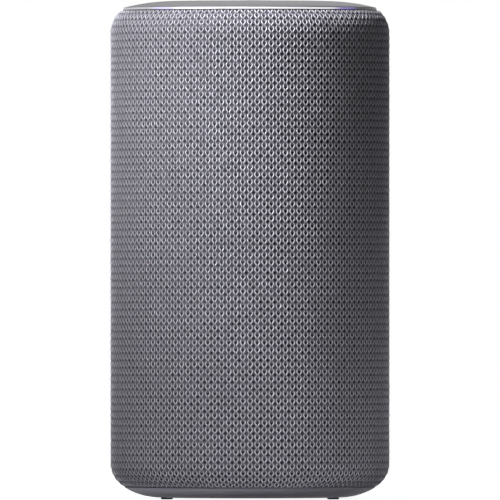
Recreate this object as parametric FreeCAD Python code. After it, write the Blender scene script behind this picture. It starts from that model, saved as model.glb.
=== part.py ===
# Smart speaker: a knitted cylinder with a domed cap, a lit ring and a moulded base.
# Frame: millimetres, +Z up, front towards -Y, origin at the centre of the footprint on the ground.
# Layout from the ground up: base cover and sockets, sound deflector, down-firing woofer,
# sealed chamber with a front tweeter and the main board behind, then the control board and cap.

import FreeCAD, Part
import math
import os

from FreeCAD import Vector

# ---------------------------------------------------------------- overall shape
speaker_height = 148.0
speaker_radius = 41.5
upper_corner_radius = 9.2
upper_corner_turn = 46.8
lower_corner_radius = 8.0
lower_corner_turn = 60.7
upper_seam_drop = 2.95         # how far the sleeve's upper edge lies below the top
lower_seam_z = 3.6

# ---------------------------------------------------------------- walls and clearances
sleeve_thickness = 1.6
sleeve_gap = 0.3
grille_wall = 1.9
seam_gap = 0.15
part_gap = 0.3
seat_gap = 0.02
thread_clearance = 0.05
hole_clearance = 0.15
board_thickness = 1.6

# ---------------------------------------------------------------- base cover and feet
base_floor_z = 0.45
base_floor_inset = 14.5
base_floor_thickness = 2.4
base_wall = 1.9
base_skirt_top_z = 9.0
base_boss_height = 2.4
foot_inset = 2.3
foot_width = 3.4
foot_length = 28.0
foot_recess = 1.1
bottom_plate_thickness = 1.0
bottom_plate_inset = 0.1

# ---------------------------------------------------------------- sockets at the back
bezel_bottom_z = 11.4
dc_axis_x = -6.5
audio_axis_x = 6.5
bezel_half_width = 14.5
bezel_half_height = 7.0
bezel_inset = 0.3
bezel_flange_lap = 1.4
bezel_flange_thickness = 1.0
bezel_clearance = 0.25
dc_recess_radius = 5.3
audio_recess_radius = 4.2
dc_body_radius = 5.0
dc_bore_radius = 3.1
dc_bore_depth = 10.5
dc_pin_radius = 1.05
dc_pin_length = 9.0
audio_body_radius = 4.0
audio_bore_radius = 1.8
audio_bore_depth = 14.0
socket_length = 14.3
port_board_half_width = 15.0
port_board_bottom_z = 4.6
port_board_overlap = 1.6       # above the bezel's flange

# ---------------------------------------------------------------- sound deflector
deck_gap = 1.6                 # above the socket board
deck_thickness = 3.0
deck_inset = 0.9
deflector_height = 13.0
deflector_flank_radius = 30.0
pillar_inset = 2.1
pillar_radius = 2.0
pillar_count = 4
post_circle = 15.0
post_radius = 3.2

# ---------------------------------------------------------------- woofer, facing down
outlet_height = 17.4           # between the deck and the woofer's face
woofer_flange_width = 6.0
woofer_flange_thickness = 1.6
surround_width = 4.4
basket_height = 15.6
basket_neck_radius = 18.0
basket_wall = 1.4
basket_seat_bore = 10.2
cone_depth = 7.5
cone_thickness = 0.6
former_radius = 8.2
former_wall = 0.25
coil_radius = 8.9
coil_height = 5.0
magnet_gap = 0.4
top_plate_radius = 17.0
top_plate_thickness = 4.0
magnet_radius = 18.5
magnet_thickness = 9.0
yoke_radius = 17.5
yoke_thickness = 4.0
yoke_vent_radius = 2.0
surround_roll = 2.5
surround_thickness = 0.45
spider_thickness = 0.4
spider_waves = 3
woofer_screw_count = 6
woofer_gasket_thickness = 0.6

# ---------------------------------------------------------------- sealed chamber
chamber_inset = 1.4
chamber_wall = 2.2
chamber_ring_thickness = 3.0
chamber_top_drop = 28.0
chamber_flat_depth = 14.3
lid_thickness = 2.4
lid_screw_inset = 5.1
lid_screw_angles = [22, 158, 210, 245, 295, 330]

# ---------------------------------------------------------------- tweeter, facing the front
tweeter_top_gap = 1.8          # between the faceplate and the top of the chamber
tweeter_grille_gap = 1.1305    # between the faceplate's sides and the grille
tweeter_plate_radius = 14.2
tweeter_plate_thickness = 1.5
tweeter_bore_radius = 8.9
tweeter_boss_lap = 1.2
tweeter_cup_radius = 10.6
tweeter_cup_wall = 2.1
tweeter_cup_depth = 8.0
tweeter_dome_radius = 8.0
tweeter_dome_rise = 2.6
tweeter_dome_thickness = 0.3
tweeter_coil_radius = 7.9
tweeter_magnet_radius = 6.9
tweeter_screw_inset = 1.3
tweeter_screw_count = 3

# ---------------------------------------------------------------- main board
main_board_standoff = 3.0
main_board_half_width = 24.0
main_board_height = 48.0
main_board_drop = 2.0          # below the top of the chamber
main_screw_x = 21.0
main_screw_inset = 4.0
can_width = 26.0
can_height = 20.0
can_depth = 2.8
can_wall = 0.3
spreader_half_width = 17.5
spreader_height = 40.0
spreader_thickness = 1.5
spreader_lift = 3.4

# ---------------------------------------------------------------- upper frame and control board
frame_plate_drop = 14.0
frame_plate_thickness = 2.4
frame_plate_inset = 0.5
frame_rim_inset = 2.1
frame_rim_wall = 1.5
frame_rim_height = 9.6
frame_post_x = 22.0
frame_post_y = 11.0
frame_post_radius = 3.2
control_board_inset = 4.0
control_board_drop = 9.0
led_count = 12
led_inset = 5.5
mic_gap = 0.35                 # between a microphone's boot and the nearest button
mic_count = 6
mic_port_radius = 0.5
gasket_radius = 1.9
gasket_bore_radius = 0.7

# ---------------------------------------------------------------- cap, lit ring and buttons
cap_inset = 4.1
cap_edge_drop = 1.9
cap_slope_width = 14.9
cap_thickness = 1.6
cap_rim_gap = 0.4              # between the microphones' boots and the thick rim
cap_rim_bevel = 0.9
cap_boss_circle = 24.0
cap_boss_radius = 2.6
ring_overhang = 0.2
ring_height = 0.6
ring_leg_inner_inset = 6.2
ring_leg_outer_inset = 4.1
trim_ring_overhang = 0.4
trim_ring_width = 2.2
trim_ring_thickness = 0.7
button_circle = 18.8
button_radius = 5.35
button_hole_clearance = 0.25
button_flange_lap = 1.2
button_flange_thickness = 0.9
button_dish_radius = 34.0
button_dish_depth = 0.35
button_travel = 0.35
stem_radius = 1.8
switch_side = 6.0
switch_height = 1.6
plunger_radius = 1.4
plunger_clearance = 0.1
plunger_height = 1.25
plunger_depth = 0.45

# ---------------------------------------------------------------- screws, wires and ribbons
m3_shank_radius = 1.25
m3_head_radius = 2.6
m3_small_head_radius = 2.0
m3_head_height = 1.4
m2_shank_radius = 0.95
m2_head_radius = 1.6
m2_head_height = 1.2
ribbon_thickness = 0.35
ribbon_width = 12.0
flat_cable_bend = 2.0
port_cable_width = 8.0
port_cable_thickness = 0.8
wire_radius = 0.7
wire_spacing = 1.7
treble_wire_x = 5.0
grommet_radius = 4.4
antenna_inset = 4.3

# ---------------------------------------------------------------- sizes that follow from the above
grille_offset = sleeve_thickness + sleeve_gap
grille_inner_offset = grille_offset + grille_wall
grille_inner_radius = speaker_radius - grille_inner_offset
upper_seam_z = speaker_height - upper_seam_drop
far_below = -20.0
far_above = speaker_height + 20.0

base_floor_radius = speaker_radius - base_floor_inset
base_inner_z = base_floor_z + base_floor_thickness
base_boss_top_z = base_inner_z + base_boss_height
foot_offset_x = base_floor_radius - foot_inset
bottom_plate_radius = foot_offset_x - foot_width / 2 - 3.0
bottom_plate_z = base_floor_z + bottom_plate_inset
plate_seat_z = bottom_plate_z + bottom_plate_thickness

chamber_radius = grille_inner_radius - chamber_inset
socket_face_y = chamber_radius + 0.6
port_board_back_y = socket_face_y - socket_length
port_board_y = port_board_back_y - board_thickness

port_axis_z = bezel_bottom_z + bezel_half_height
port_board_top_z = port_axis_z + bezel_half_height + bezel_flange_lap + port_board_overlap

deck_z = port_board_top_z + deck_gap
deck_radius = grille_inner_radius - deck_inset
deck_top_z = deck_z + deck_thickness
pillar_circle = chamber_radius - pillar_inset
post_bottom_z = base_boss_top_z + seat_gap

woofer_face_z = deck_top_z + outlet_height
woofer_flange_radius = pillar_circle - pillar_radius - 0.2
woofer_flange_bore = woofer_flange_radius - woofer_flange_width
woofer_screw_circle = woofer_flange_radius - 1.8
woofer_back_z = woofer_face_z + woofer_flange_thickness
deflector_foot_radius = woofer_flange_bore + 1.0
basket_top_z = woofer_face_z + basket_height
basket_seat_z = basket_top_z - 1.6
terminal_z = woofer_back_z + 9.2
cone_radius = woofer_flange_bore - surround_width
cone_edge_z = woofer_face_z + 0.1
cone_neck_z = cone_edge_z + cone_depth
former_outer_radius = former_radius + former_wall
motor_bore_radius = coil_radius + magnet_gap
magnet_z = basket_top_z + top_plate_thickness
yoke_z = magnet_z + magnet_thickness
yoke_top_z = yoke_z + yoke_thickness

chamber_bottom_z = woofer_back_z + woofer_gasket_thickness
chamber_ring_top_z = chamber_bottom_z + chamber_ring_thickness
chamber_top_z = speaker_height - chamber_top_drop
chamber_flat_y = chamber_radius - chamber_flat_depth
lid_top_z = chamber_top_z + lid_thickness
lid_screw_circle = chamber_radius - lid_screw_inset

tweeter_z = chamber_top_z - tweeter_top_gap - tweeter_plate_radius
tweeter_face_y = -math.sqrt((grille_inner_radius - tweeter_grille_gap) ** 2 - tweeter_plate_radius ** 2)
tweeter_seat_y = tweeter_face_y + tweeter_plate_thickness
tweeter_boss_radius = tweeter_plate_radius + tweeter_boss_lap
tweeter_screw_circle = tweeter_plate_radius - tweeter_screw_inset
tweeter_pocket_y = tweeter_seat_y + tweeter_cup_depth + part_gap
tweeter_boss_y = tweeter_pocket_y + 2.0

main_board_top_z = chamber_top_z - main_board_drop
main_board_bottom_z = main_board_top_z - main_board_height
main_board_middle_z = (main_board_top_z + main_board_bottom_z) / 2
main_board_y = chamber_flat_y + main_board_standoff
main_board_back_y = main_board_y + board_thickness
chamber_flat_z = main_board_bottom_z - 2.0
can_z = main_board_middle_z + 6.0
grommet_z = main_board_middle_z + 2.0

frame_plate_z = speaker_height - frame_plate_drop
frame_plate_top_z = frame_plate_z + frame_plate_thickness
control_board_z = speaker_height - control_board_drop
control_top_z = control_board_z + board_thickness
mic_top_z = control_top_z + 1.0
plunger_bottom_z = control_top_z + switch_height - plunger_depth

cap_edge_radius = speaker_radius - cap_inset
cap_edge_z = speaker_height - cap_edge_drop
cap_flat_radius = cap_edge_radius - cap_slope_width
cap_inner_z = speaker_height - cap_thickness
ring_top_z = cap_edge_z - 0.1
ring_bottom_z = ring_top_z - ring_height
control_board_radius = cap_edge_radius - control_board_inset
led_circle = cap_edge_radius - led_inset
mic_circle = button_circle + button_radius + button_flange_lap + gasket_radius + mic_gap
antenna_x = chamber_radius - antenna_inset
up = Vector(0, 0, 1)
back = Vector(0, 1, 0)

parts = {}


# ---------------------------------------------------------------- small helpers
def disc(radius, bottom, top, x=0.0, y=0.0):
    return Part.makeCylinder(radius, top - bottom, Vector(x, y, bottom), up)


def ring(outer, inner, bottom, top, x=0.0, y=0.0):
    return disc(outer, bottom, top, x, y).cut(disc(inner, bottom - 1, top + 1, x, y))


def rod_y(radius, front, rear, x, z):
    """A cylinder that lies along Y from front to rear."""
    return Part.makeCylinder(radius, rear - front, Vector(x, front, z), back)


def box(x0, x1, y0, y1, z0, z1):
    return Part.makeBox(x1 - x0, y1 - y0, z1 - z0, Vector(x0, y0, z0))


def turned(edges):
    """A solid of revolution about Z from a closed run of edges in the XZ plane."""
    face = Part.Face(Part.Wire(Part.__sortEdges__(edges)))
    return face.revolve(Vector(0, 0, 0), up, 360)


def lines(points):
    """Straight edges through (radius, height) points, not closed."""
    spots = [Vector(r, 0, z) for r, z in points]
    return [Part.LineSegment(a, b).toShape() for a, b in zip(spots, spots[1:])]


def turned_polygon(points):
    return turned(lines(points + points[:1]))


def arc(start, middle, end):
    spots = [Vector(r, 0, z) for r, z in (start, middle, end)]
    return Part.Arc(*spots).toShape()


def around(count, circle, first_degrees=0.0):
    """Evenly spaced (x, y) places on a circle."""
    step = 2 * math.pi / count
    first = math.radians(first_degrees)
    return [(circle * math.cos(first + i * step), circle * math.sin(first + i * step)) for i in range(count)]


def joined(shapes):
    first, *rest = shapes
    return first.fuse(rest).removeSplitter()


def separate(shapes):
    """Several loose solids that share one node."""
    return Part.makeCompound(shapes)


def screw_up(x, y, head_bottom, tip_z, shank, head, head_height):
    """A pan-head screw that is driven upwards."""
    body = disc(head, head_bottom, head_bottom + head_height, x, y)
    slot = disc(shank * 0.75, head_bottom - 1, head_bottom + head_height * 0.45, x, y)
    return body.cut(slot).fuse(disc(shank, head_bottom + head_height - 0.01, tip_z, x, y))


def screw_down(x, y, head_top, tip_z, shank, head, head_height):
    """A pan-head screw that is driven downwards."""
    body = disc(head, head_top - head_height, head_top, x, y)
    slot = disc(shank * 0.75, head_top - head_height * 0.45, head_top + 1, x, y)
    return body.cut(slot).fuse(disc(shank, tip_z, head_top - head_height + 0.01, x, y))


def screw_y(x, z, head_face, tip, shank, head, head_height):
    """A pan-head screw along Y, with its head at head_face and its point at tip."""
    inward = 1 if tip > head_face else -1
    seat = head_face + inward * head_height
    low, high = sorted((head_face, seat))
    body = rod_y(head, low, high, x, z)
    low, high = sorted((head_face - inward, head_face + inward * head_height * 0.45))
    body = body.cut(rod_y(shank * 0.75, low, high, x, z))
    low, high = sorted((seat - inward * 0.01, tip))
    return body.fuse(rod_y(shank, low, high, x, z))


def pill(half_width, half_height, front, rear, x, z):
    """A prism along Y with a long round-ended outline."""
    reach = half_width - half_height
    body = box(x - reach, x + reach, front, rear, z - half_height, z + half_height)
    return joined([body] + [rod_y(half_height, front, rear, x + side * reach, z) for side in (-1, 1)])


def strip(points, width, thickness, bend):
    """A flat cable: a strip of even thickness along rounded (y, z) points, centred on x = 0."""
    def offset_side(side):
        edges = []
        last = None
        for i, (y, z) in enumerate(points):
            here = Vector(0, y, z)
            into = here.sub(Vector(0, *points[i - 1])).normalize() if i else None
            out = Vector(0, *points[i + 1]).sub(here).normalize() if i < len(points) - 1 else None
            if into is None or out is None:
                along = out if into is None else into
                spot = here.add(Vector(0, -along.z, along.y).multiply(side * thickness / 2))
                if last is not None:
                    edges.append(Part.LineSegment(last, spot).toShape())
                last = spot
                continue
            turn = math.atan2(into.y * out.z - into.z * out.y, into.dot(out))
            reach = bend * math.tan(abs(turn) / 2)
            enter = here.sub(Vector(into).multiply(reach))
            leave = here.add(Vector(out).multiply(reach))
            left = 1 if turn > 0 else -1
            centre = enter.add(Vector(0, -into.z, into.y).multiply(left * bend))
            radius = bend - left * side * thickness / 2
            start = centre.add(enter.sub(centre).normalize().multiply(radius))
            end = centre.add(leave.sub(centre).normalize().multiply(radius))
            middle = centre.add(here.sub(centre).normalize().multiply(radius))
            edges.append(Part.LineSegment(last, start).toShape())
            edges.append(Part.Arc(start, middle, end).toShape())
            last = end
        return edges

    left_side, right_side = offset_side(1), offset_side(-1)
    caps = []
    for index in (0, -1):
        a = left_side[index].Vertexes[index].Point
        b = right_side[index].Vertexes[index].Point
        caps.append(Part.LineSegment(a, b).toShape())
    face = Part.Face(Part.Wire(Part.__sortEdges__(left_side + right_side + caps)))
    solid = face.extrude(Vector(width, 0, 0))
    solid.translate(Vector(-width / 2, 0, 0))
    return solid


def wire_along(points, radius):
    """A round wire through straight runs that are joined by tangent arcs."""
    spots = [Vector(*p) for p in points]
    edges = []
    last = spots[0]
    for before, here, after in zip(spots, spots[1:], spots[2:]):
        into = here.sub(before)
        out = after.sub(here)
        half_turn = into.getAngle(out) / 2
        reach = 0.45 * min(into.Length, out.Length)
        into.normalize()
        out.normalize()
        enter = here.sub(Vector(into).multiply(reach))
        leave = here.add(Vector(out).multiply(reach))
        inward = Vector(out).sub(into).normalize()
        bend = reach / math.tan(half_turn)
        middle = here.add(inward.multiply(bend / math.cos(half_turn) - bend))
        edges.append(Part.LineSegment(last, enter).toShape())
        edges.append(Part.Arc(enter, middle, leave).toShape())
        last = leave
    edges.append(Part.LineSegment(last, spots[-1]).toShape())
    path = Part.Wire(edges)
    start = spots[1].sub(spots[0])
    section = Part.Wire([Part.makeCircle(radius, spots[0], start)])
    return path.makePipeShell([section], True, False)


# ---------------------------------------------------------------- the outer shape
def shell_side(offset):
    """Edges of the outer shape, moved inwards by offset, from the lower seam to the upper one."""
    low_turn, high_turn = math.radians(lower_corner_turn), math.radians(upper_corner_turn)
    low_z = lower_seam_z + lower_corner_radius * math.sin(low_turn)
    high_z = upper_seam_z - upper_corner_radius * math.sin(high_turn)
    low_r, high_r = lower_corner_radius - offset, upper_corner_radius - offset
    low_centre = speaker_radius - lower_corner_radius
    high_centre = speaker_radius - upper_corner_radius

    def low(turn):
        return (low_centre + low_r * math.cos(turn), low_z - low_r * math.sin(turn))

    def high(turn):
        return (high_centre + high_r * math.cos(turn), high_z + high_r * math.sin(turn))

    edges = [arc(low(low_turn), low(low_turn / 2), low(0))]
    edges += lines([low(0), high(0)])
    edges.append(arc(high(0), high(high_turn / 2), high(high_turn)))
    return edges, low(low_turn), high(high_turn)


def shell_band(outer_offset, inner_offset):
    outer, outer_low, outer_high = shell_side(outer_offset)
    inner, inner_low, inner_high = shell_side(inner_offset)
    return turned(outer + inner + lines([outer_low, inner_low]) + lines([outer_high, inner_high]))


def port_opening(clearance):
    """The round-ended prism that the socket bezel fills at the back."""
    width, height = bezel_half_width + clearance, bezel_half_height + clearance
    return pill(width, height, chamber_radius - 6, speaker_radius + 2, 0, port_axis_z)


def make_sleeve():
    parts["fabric_sleeve"] = shell_band(0, sleeve_thickness).cut(port_opening(bezel_clearance))


# ---------------------------------------------------------------- grille tube
outlet_slot_count = 36
outlet_slot_width = 3.2
outlet_slot_margin = 2.0
treble_slot_count = 7
treble_slot_width = 2.0
treble_slot_pitch = 3.6


def make_grille():
    tube = shell_band(grille_offset, grille_inner_offset)
    low, high = deck_top_z + outlet_slot_margin, woofer_face_z - outlet_slot_margin
    half = outlet_slot_width / 2
    cutters = []
    for i in range(outlet_slot_count):
        slot = pill((high - low) / 2, half, 0, speaker_radius, 0, 0)
        slot.rotate(Vector(0, 0, 0), back, 90)
        slot.translate(Vector(0, speaker_radius / 2, (low + high) / 2))
        slot.rotate(Vector(0, 0, 0), up, (i + 0.5) * 360 / outlet_slot_count)
        cutters.append(slot)
    for i in range(treble_slot_count):
        x = (i - (treble_slot_count - 1) / 2) * treble_slot_pitch
        reach = math.sqrt(tweeter_plate_radius ** 2 - x ** 2)
        slot = pill(reach, treble_slot_width / 2, -speaker_radius, 4 - grille_inner_radius, 0, 0)
        slot.rotate(Vector(0, 0, 0), back, 90)
        slot.translate(Vector(x, 0, tweeter_z))
        cutters.append(slot)
    parts["grille_tube"] = tube.cut(cutters + [port_opening(bezel_clearance)])


# ---------------------------------------------------------------- base cover, feet and bottom plate
def foot_outline(extra, bottom, top):
    """The two long pads side by side, grown by extra."""
    pads = []
    radius = foot_width / 2 + extra
    reach = foot_length / 2 - foot_width / 2
    for side in (-1, 1):
        x = side * foot_offset_x
        ends = [disc(radius, bottom, top, x, y) for y in (-reach, reach)]
        pads.append(joined([box(x - radius, x + radius, -reach, reach, bottom, top)] + ends))
    return pads


def make_base():
    _, seam, _ = shell_side(0)
    _, seam_inner, _ = shell_side(grille_inner_offset + part_gap)
    edge = (seam[0] - 0.05, seam[1] - seam_gap)
    lip = (seam_inner[0], seam_inner[1] - seam_gap)
    skirt = lip[0] - 0.1
    rise, run = edge[1] - base_floor_z, edge[0] - base_floor_radius
    sweep = (run ** 2 + rise ** 2) / (2 * rise)
    half_turn = math.asin(run / sweep) / 2
    middle = (base_floor_radius + sweep * math.sin(half_turn),
              base_floor_z + sweep * (1 - math.cos(half_turn)))
    outline = lines([(0, base_inner_z), (0, base_floor_z), (base_floor_radius, base_floor_z)])
    outline.append(arc((base_floor_radius, base_floor_z), middle, edge))
    outline += lines([edge, lip, (skirt, base_skirt_top_z), (skirt - base_wall, base_skirt_top_z)])
    inner_foot = (skirt - base_wall, lip[1])
    outline += lines([(skirt - base_wall, base_skirt_top_z), inner_foot])
    outline += lines([inner_foot, (base_floor_radius, base_inner_z), (0, base_inner_z)])
    cover = turned(outline)

    places = around(4, post_circle, 45)
    bosses = [disc(post_radius + 1.2, base_inner_z - 0.5, base_boss_top_z, x, y) for x, y in places]
    guides = []
    for side in (-1, 1):
        x = side * (port_board_half_width - 1.5)
        guides.append(box(x - 2.5, x + 2.5, port_board_y - 2, port_board_back_y + 2, base_inner_z - 0.5, 8.6))
    cover = joined([cover] + bosses + guides)
    slot = box(-port_board_half_width - hole_clearance, port_board_half_width + hole_clearance,
               port_board_y - 0.1, port_board_back_y + 0.1, port_board_bottom_z - 0.1, 12)
    plate_recess = disc(bottom_plate_radius + hole_clearance, far_below, plate_seat_z)
    holes = []
    for x, y in places:
        holes.append(disc(m3_head_radius + hole_clearance, 0, plate_seat_z + m3_head_height, x, y))
        holes.append(disc(m3_shank_radius + hole_clearance, 0, base_boss_top_z + 1, x, y))
    pads = foot_outline(0.1, base_floor_z - 1, base_floor_z + foot_recess)
    parts["base_cover"] = cover.cut([slot, plate_recess] + holes + pads)

    parts["foot_strips"] = separate(foot_outline(0, 0, base_floor_z + foot_recess - 0.02))
    parts["bottom_plate"] = disc(bottom_plate_radius, bottom_plate_z, plate_seat_z)
    head_z = plate_seat_z + seat_gap
    parts["base_screws"] = separate([
        screw_up(x, y, head_z, head_z + 12, m3_shank_radius, m3_head_radius, m3_head_height - seat_gap)
        for x, y in places
    ])


# ---------------------------------------------------------------- sockets
def make_sockets():
    front, rear = chamber_radius - 11, speaker_radius + 3
    face = port_opening(0).common(ring(speaker_radius - bezel_inset, grille_inner_radius, 0, deck_z))
    window = pill(bezel_half_width - 1, bezel_half_height - 1, front, rear, 0, port_axis_z)
    lap = bezel_flange_lap
    flange = pill(bezel_half_width + lap, bezel_half_height + lap, front, rear, 0, port_axis_z).cut(window)
    flange_outer = grille_inner_radius - 0.1
    flange_inner = flange_outer - bezel_flange_thickness
    flange = flange.common(ring(flange_outer, flange_inner, 0, deck_z))
    collar = port_opening(0).cut(window).common(ring(grille_inner_radius + 0.5, flange_inner, 0, deck_z))
    parts["port_bezel"] = joined([face, collar, flange]).cut([
        rod_y(dc_recess_radius, front, rear, dc_axis_x, port_axis_z),
        rod_y(audio_recess_radius, front, rear, audio_axis_x, port_axis_z),
    ])

    dc_body = rod_y(dc_body_radius, port_board_back_y, socket_face_y, dc_axis_x, port_axis_z)
    dc_floor = socket_face_y - dc_bore_depth
    dc_body = dc_body.cut(rod_y(dc_bore_radius, dc_floor, socket_face_y + 1, dc_axis_x, port_axis_z))
    dc_pin = rod_y(dc_pin_radius, dc_floor - 0.5, dc_floor + dc_pin_length, dc_axis_x, port_axis_z)
    parts["dc_jack"] = joined([dc_body, dc_pin])

    audio = rod_y(audio_body_radius, port_board_back_y, socket_face_y, audio_axis_x, port_axis_z)
    audio_floor = socket_face_y - audio_bore_depth
    parts["audio_jack"] = audio.cut(
        rod_y(audio_bore_radius, audio_floor, socket_face_y + 1, audio_axis_x, port_axis_z))

    width = port_board_half_width
    board = box(-width, width, port_board_y, port_board_back_y, port_board_bottom_z, port_board_top_z)
    chip = box(-3, 5, port_board_y - 1.4, port_board_y, 14, 19)
    parts["port_board"] = board.fuse(chip)


# ---------------------------------------------------------------- sound deflector and its pillars
def make_deflector():
    deck = disc(deck_radius, deck_z, deck_top_z)
    foot = deflector_foot_radius
    tip_z = deck_top_z + deflector_height
    flat_tip = 1.5
    chord_r, chord_z = foot - flat_tip, tip_z - deck_top_z
    chord = math.hypot(chord_r, chord_z)
    sag = deflector_flank_radius - math.sqrt(deflector_flank_radius ** 2 - (chord / 2) ** 2)
    middle = ((foot + flat_tip) / 2 - sag * chord_z / chord, (deck_top_z + tip_z) / 2 - sag * chord_r / chord)
    flank = arc((foot, deck_top_z), middle, (flat_tip, tip_z))
    low = deck_top_z - 1
    cone = turned([flank] + lines([(flat_tip, tip_z), (0, tip_z), (0, low), (foot, low), (foot, deck_top_z)]))
    pillar_places = around(pillar_count, pillar_circle, 45)
    pillars = [disc(pillar_radius, deck_top_z - 1, chamber_bottom_z, x, y) for x, y in pillar_places]
    post_places = around(4, post_circle, 45)
    posts = [disc(post_radius, post_bottom_z, deck_z + 1, x, y) for x, y in post_places]
    body = joined([deck, cone] + pillars + posts)
    notch = port_cable_width / 2 + 0.6
    cutters = [box(-notch, notch, chamber_radius - 1.7, speaker_radius, deck_z - 1, deck_top_z + 1)]
    for x, y in pillar_places:
        cutters.append(disc(m3_shank_radius + hole_clearance, deck_z - 1, chamber_bottom_z + 1, x, y))
        cutters.append(disc(m3_small_head_radius + 0.1, deck_z - 1, deck_z + m3_head_height, x, y))
    for x, y in post_places:
        cutters.append(disc(m3_shank_radius + thread_clearance, post_bottom_z - 1, post_bottom_z + 14, x, y))
    parts["sound_deflector"] = body.cut(cutters)
    parts["pillar_screws"] = separate([
        screw_up(x, y, deck_z + seat_gap, chamber_ring_top_z + 4, m3_shank_radius, m3_small_head_radius,
                 m3_head_height - seat_gap)
        for x, y in pillar_places
    ])


# ---------------------------------------------------------------- woofer
def make_woofer_frame():
    bore, neck, seat = woofer_flange_bore, basket_neck_radius, basket_seat_z
    frame = turned_polygon([
        (bore, woofer_face_z), (woofer_flange_radius, woofer_face_z), (woofer_flange_radius, woofer_back_z),
        (bore + 1.2 * basket_wall, woofer_back_z), (neck, seat), (neck, basket_top_z),
        (basket_seat_bore, basket_top_z), (basket_seat_bore, seat), (neck - 1.2 * basket_wall, seat),
        (bore, woofer_back_z),
    ])
    cutters = []
    for i in range(6):
        window = box(neck + 0.4, bore + 4, -5.5, 5.5, woofer_back_z + 2.2, seat - 2.2)
        window.rotate(Vector(0, 0, 0), up, 30 + i * 60)
        cutters.append(window)
    for x, y in woofer_screw_places():
        cutters.append(disc(m2_shank_radius + hole_clearance, far_below, far_above, x, y))
    tabs = []
    for side in (-1, 1):
        inner, outer = sorted((side * (neck + 1.0), side * (bore - 1.2)))
        tabs.append(box(inner, outer, -3, 3, terminal_z - 1.4, terminal_z))
    parts["woofer_frame"] = joined([frame.cut(cutters)] + tabs)

    gasket = ring(woofer_flange_radius - 0.2, woofer_flange_bore + 2.0, woofer_back_z, chamber_bottom_z)
    holes = [disc(m2_shank_radius + 0.25, far_below, far_above, x, y) for x, y in woofer_screw_places()]
    parts["woofer_gasket"] = gasket.cut(holes)
    parts["woofer_screws"] = separate([
        screw_up(x, y, woofer_face_z - m2_head_height, chamber_ring_top_z - 0.4, m2_shank_radius,
                 m2_head_radius, m2_head_height)
        for x, y in woofer_screw_places()
    ])


def woofer_screw_places():
    return around(woofer_screw_count, woofer_screw_circle, 30)


def make_woofer_motor():
    parts["woofer_top_plate"] = ring(top_plate_radius, motor_bore_radius, basket_top_z, magnet_z)
    parts["woofer_magnet"] = ring(magnet_radius, motor_bore_radius + 1.2, magnet_z, yoke_z)
    pole = former_radius - 0.35
    parts["woofer_yoke"] = turned_polygon([
        (yoke_vent_radius, basket_top_z + 0.2), (pole, basket_top_z + 0.2), (pole, yoke_z),
        (yoke_radius, yoke_z), (yoke_radius, yoke_top_z), (yoke_vent_radius, yoke_top_z),
    ])


def make_woofer_cone():
    neck = former_outer_radius + 0.1
    parts["woofer_cone"] = turned_polygon([
        (neck, cone_neck_z), (neck, cone_neck_z + cone_thickness),
        (cone_radius, cone_edge_z + cone_thickness), (cone_radius, cone_edge_z),
    ])
    wall = former_outer_radius
    coil_top = basket_top_z + top_plate_thickness / 2 + coil_height / 2
    parts["woofer_voice_coil"] = turned_polygon([
        (former_radius, cone_neck_z - 1.0), (wall, cone_neck_z - 1.0), (wall, coil_top - coil_height),
        (coil_radius, coil_top - coil_height), (coil_radius, coil_top), (former_radius, coil_top),
    ])
    rim, rise = former_outer_radius, 2.6
    base_z = cone_neck_z - 1.1
    cap_radius = (rim ** 2 + rise ** 2) / (2 * rise)
    centre = Vector(0, 0, base_z - rise + cap_radius)
    dome = Part.makeSphere(cap_radius, centre).cut(Part.makeSphere(cap_radius - 0.5, centre))
    parts["woofer_dust_cap"] = dome.common(disc(rim, base_z - rise - 1, base_z))


def make_woofer_suspension():
    inner_r, outer_r = cone_radius + 0.1, woofer_flange_bore + 0.6
    middle, half = (inner_r + outer_r) / 2, (outer_r - inner_r) / 2
    lip_top = woofer_face_z - seat_gap
    lip_low = lip_top - surround_thickness
    arch = []
    for radius in (half, half - surround_thickness):
        crest = lip_low - radius * surround_roll / half
        arch.append(arc((middle - radius, lip_low), (middle, crest), (middle + radius, lip_low)))
    arch += lines([(middle - half, lip_low), (middle - half + surround_thickness, lip_low)])
    arch += lines([(middle + half - surround_thickness, lip_low), (middle + half, lip_low)])
    inner_lip = ring(inner_r + surround_thickness, inner_r - 1.2, lip_low - 0.01, lip_top)
    outer_lip = ring(outer_r + 1.6, outer_r - surround_thickness, lip_low - 0.01, lip_top)
    parts["woofer_surround"] = joined([turned(arch), inner_lip, outer_lip])

    landing_r = basket_neck_radius - 1.2 * basket_wall - 0.2
    outer, inner = landing_r - 1.6, former_outer_radius + 0.1
    steps = spider_waves * 8
    upper = [(landing_r, basket_seat_z - 0.5 + spider_thickness)]
    for i in range(steps + 1):
        share = i / steps
        wave = 0.6 * math.cos(2 * math.pi * spider_waves * share)
        upper.append((outer - (outer - inner) * share, basket_seat_z - 1.1 + wave))
    lower = [(r, z - spider_thickness) for r, z in reversed(upper)]
    parts["woofer_spider"] = turned_polygon(upper + lower)


# ---------------------------------------------------------------- sealed chamber
def behind(y, bottom):
    """Everything at the back of y and above bottom."""
    return box(-speaker_radius, speaker_radius, y, 2 * speaker_radius, bottom, far_above)


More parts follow.
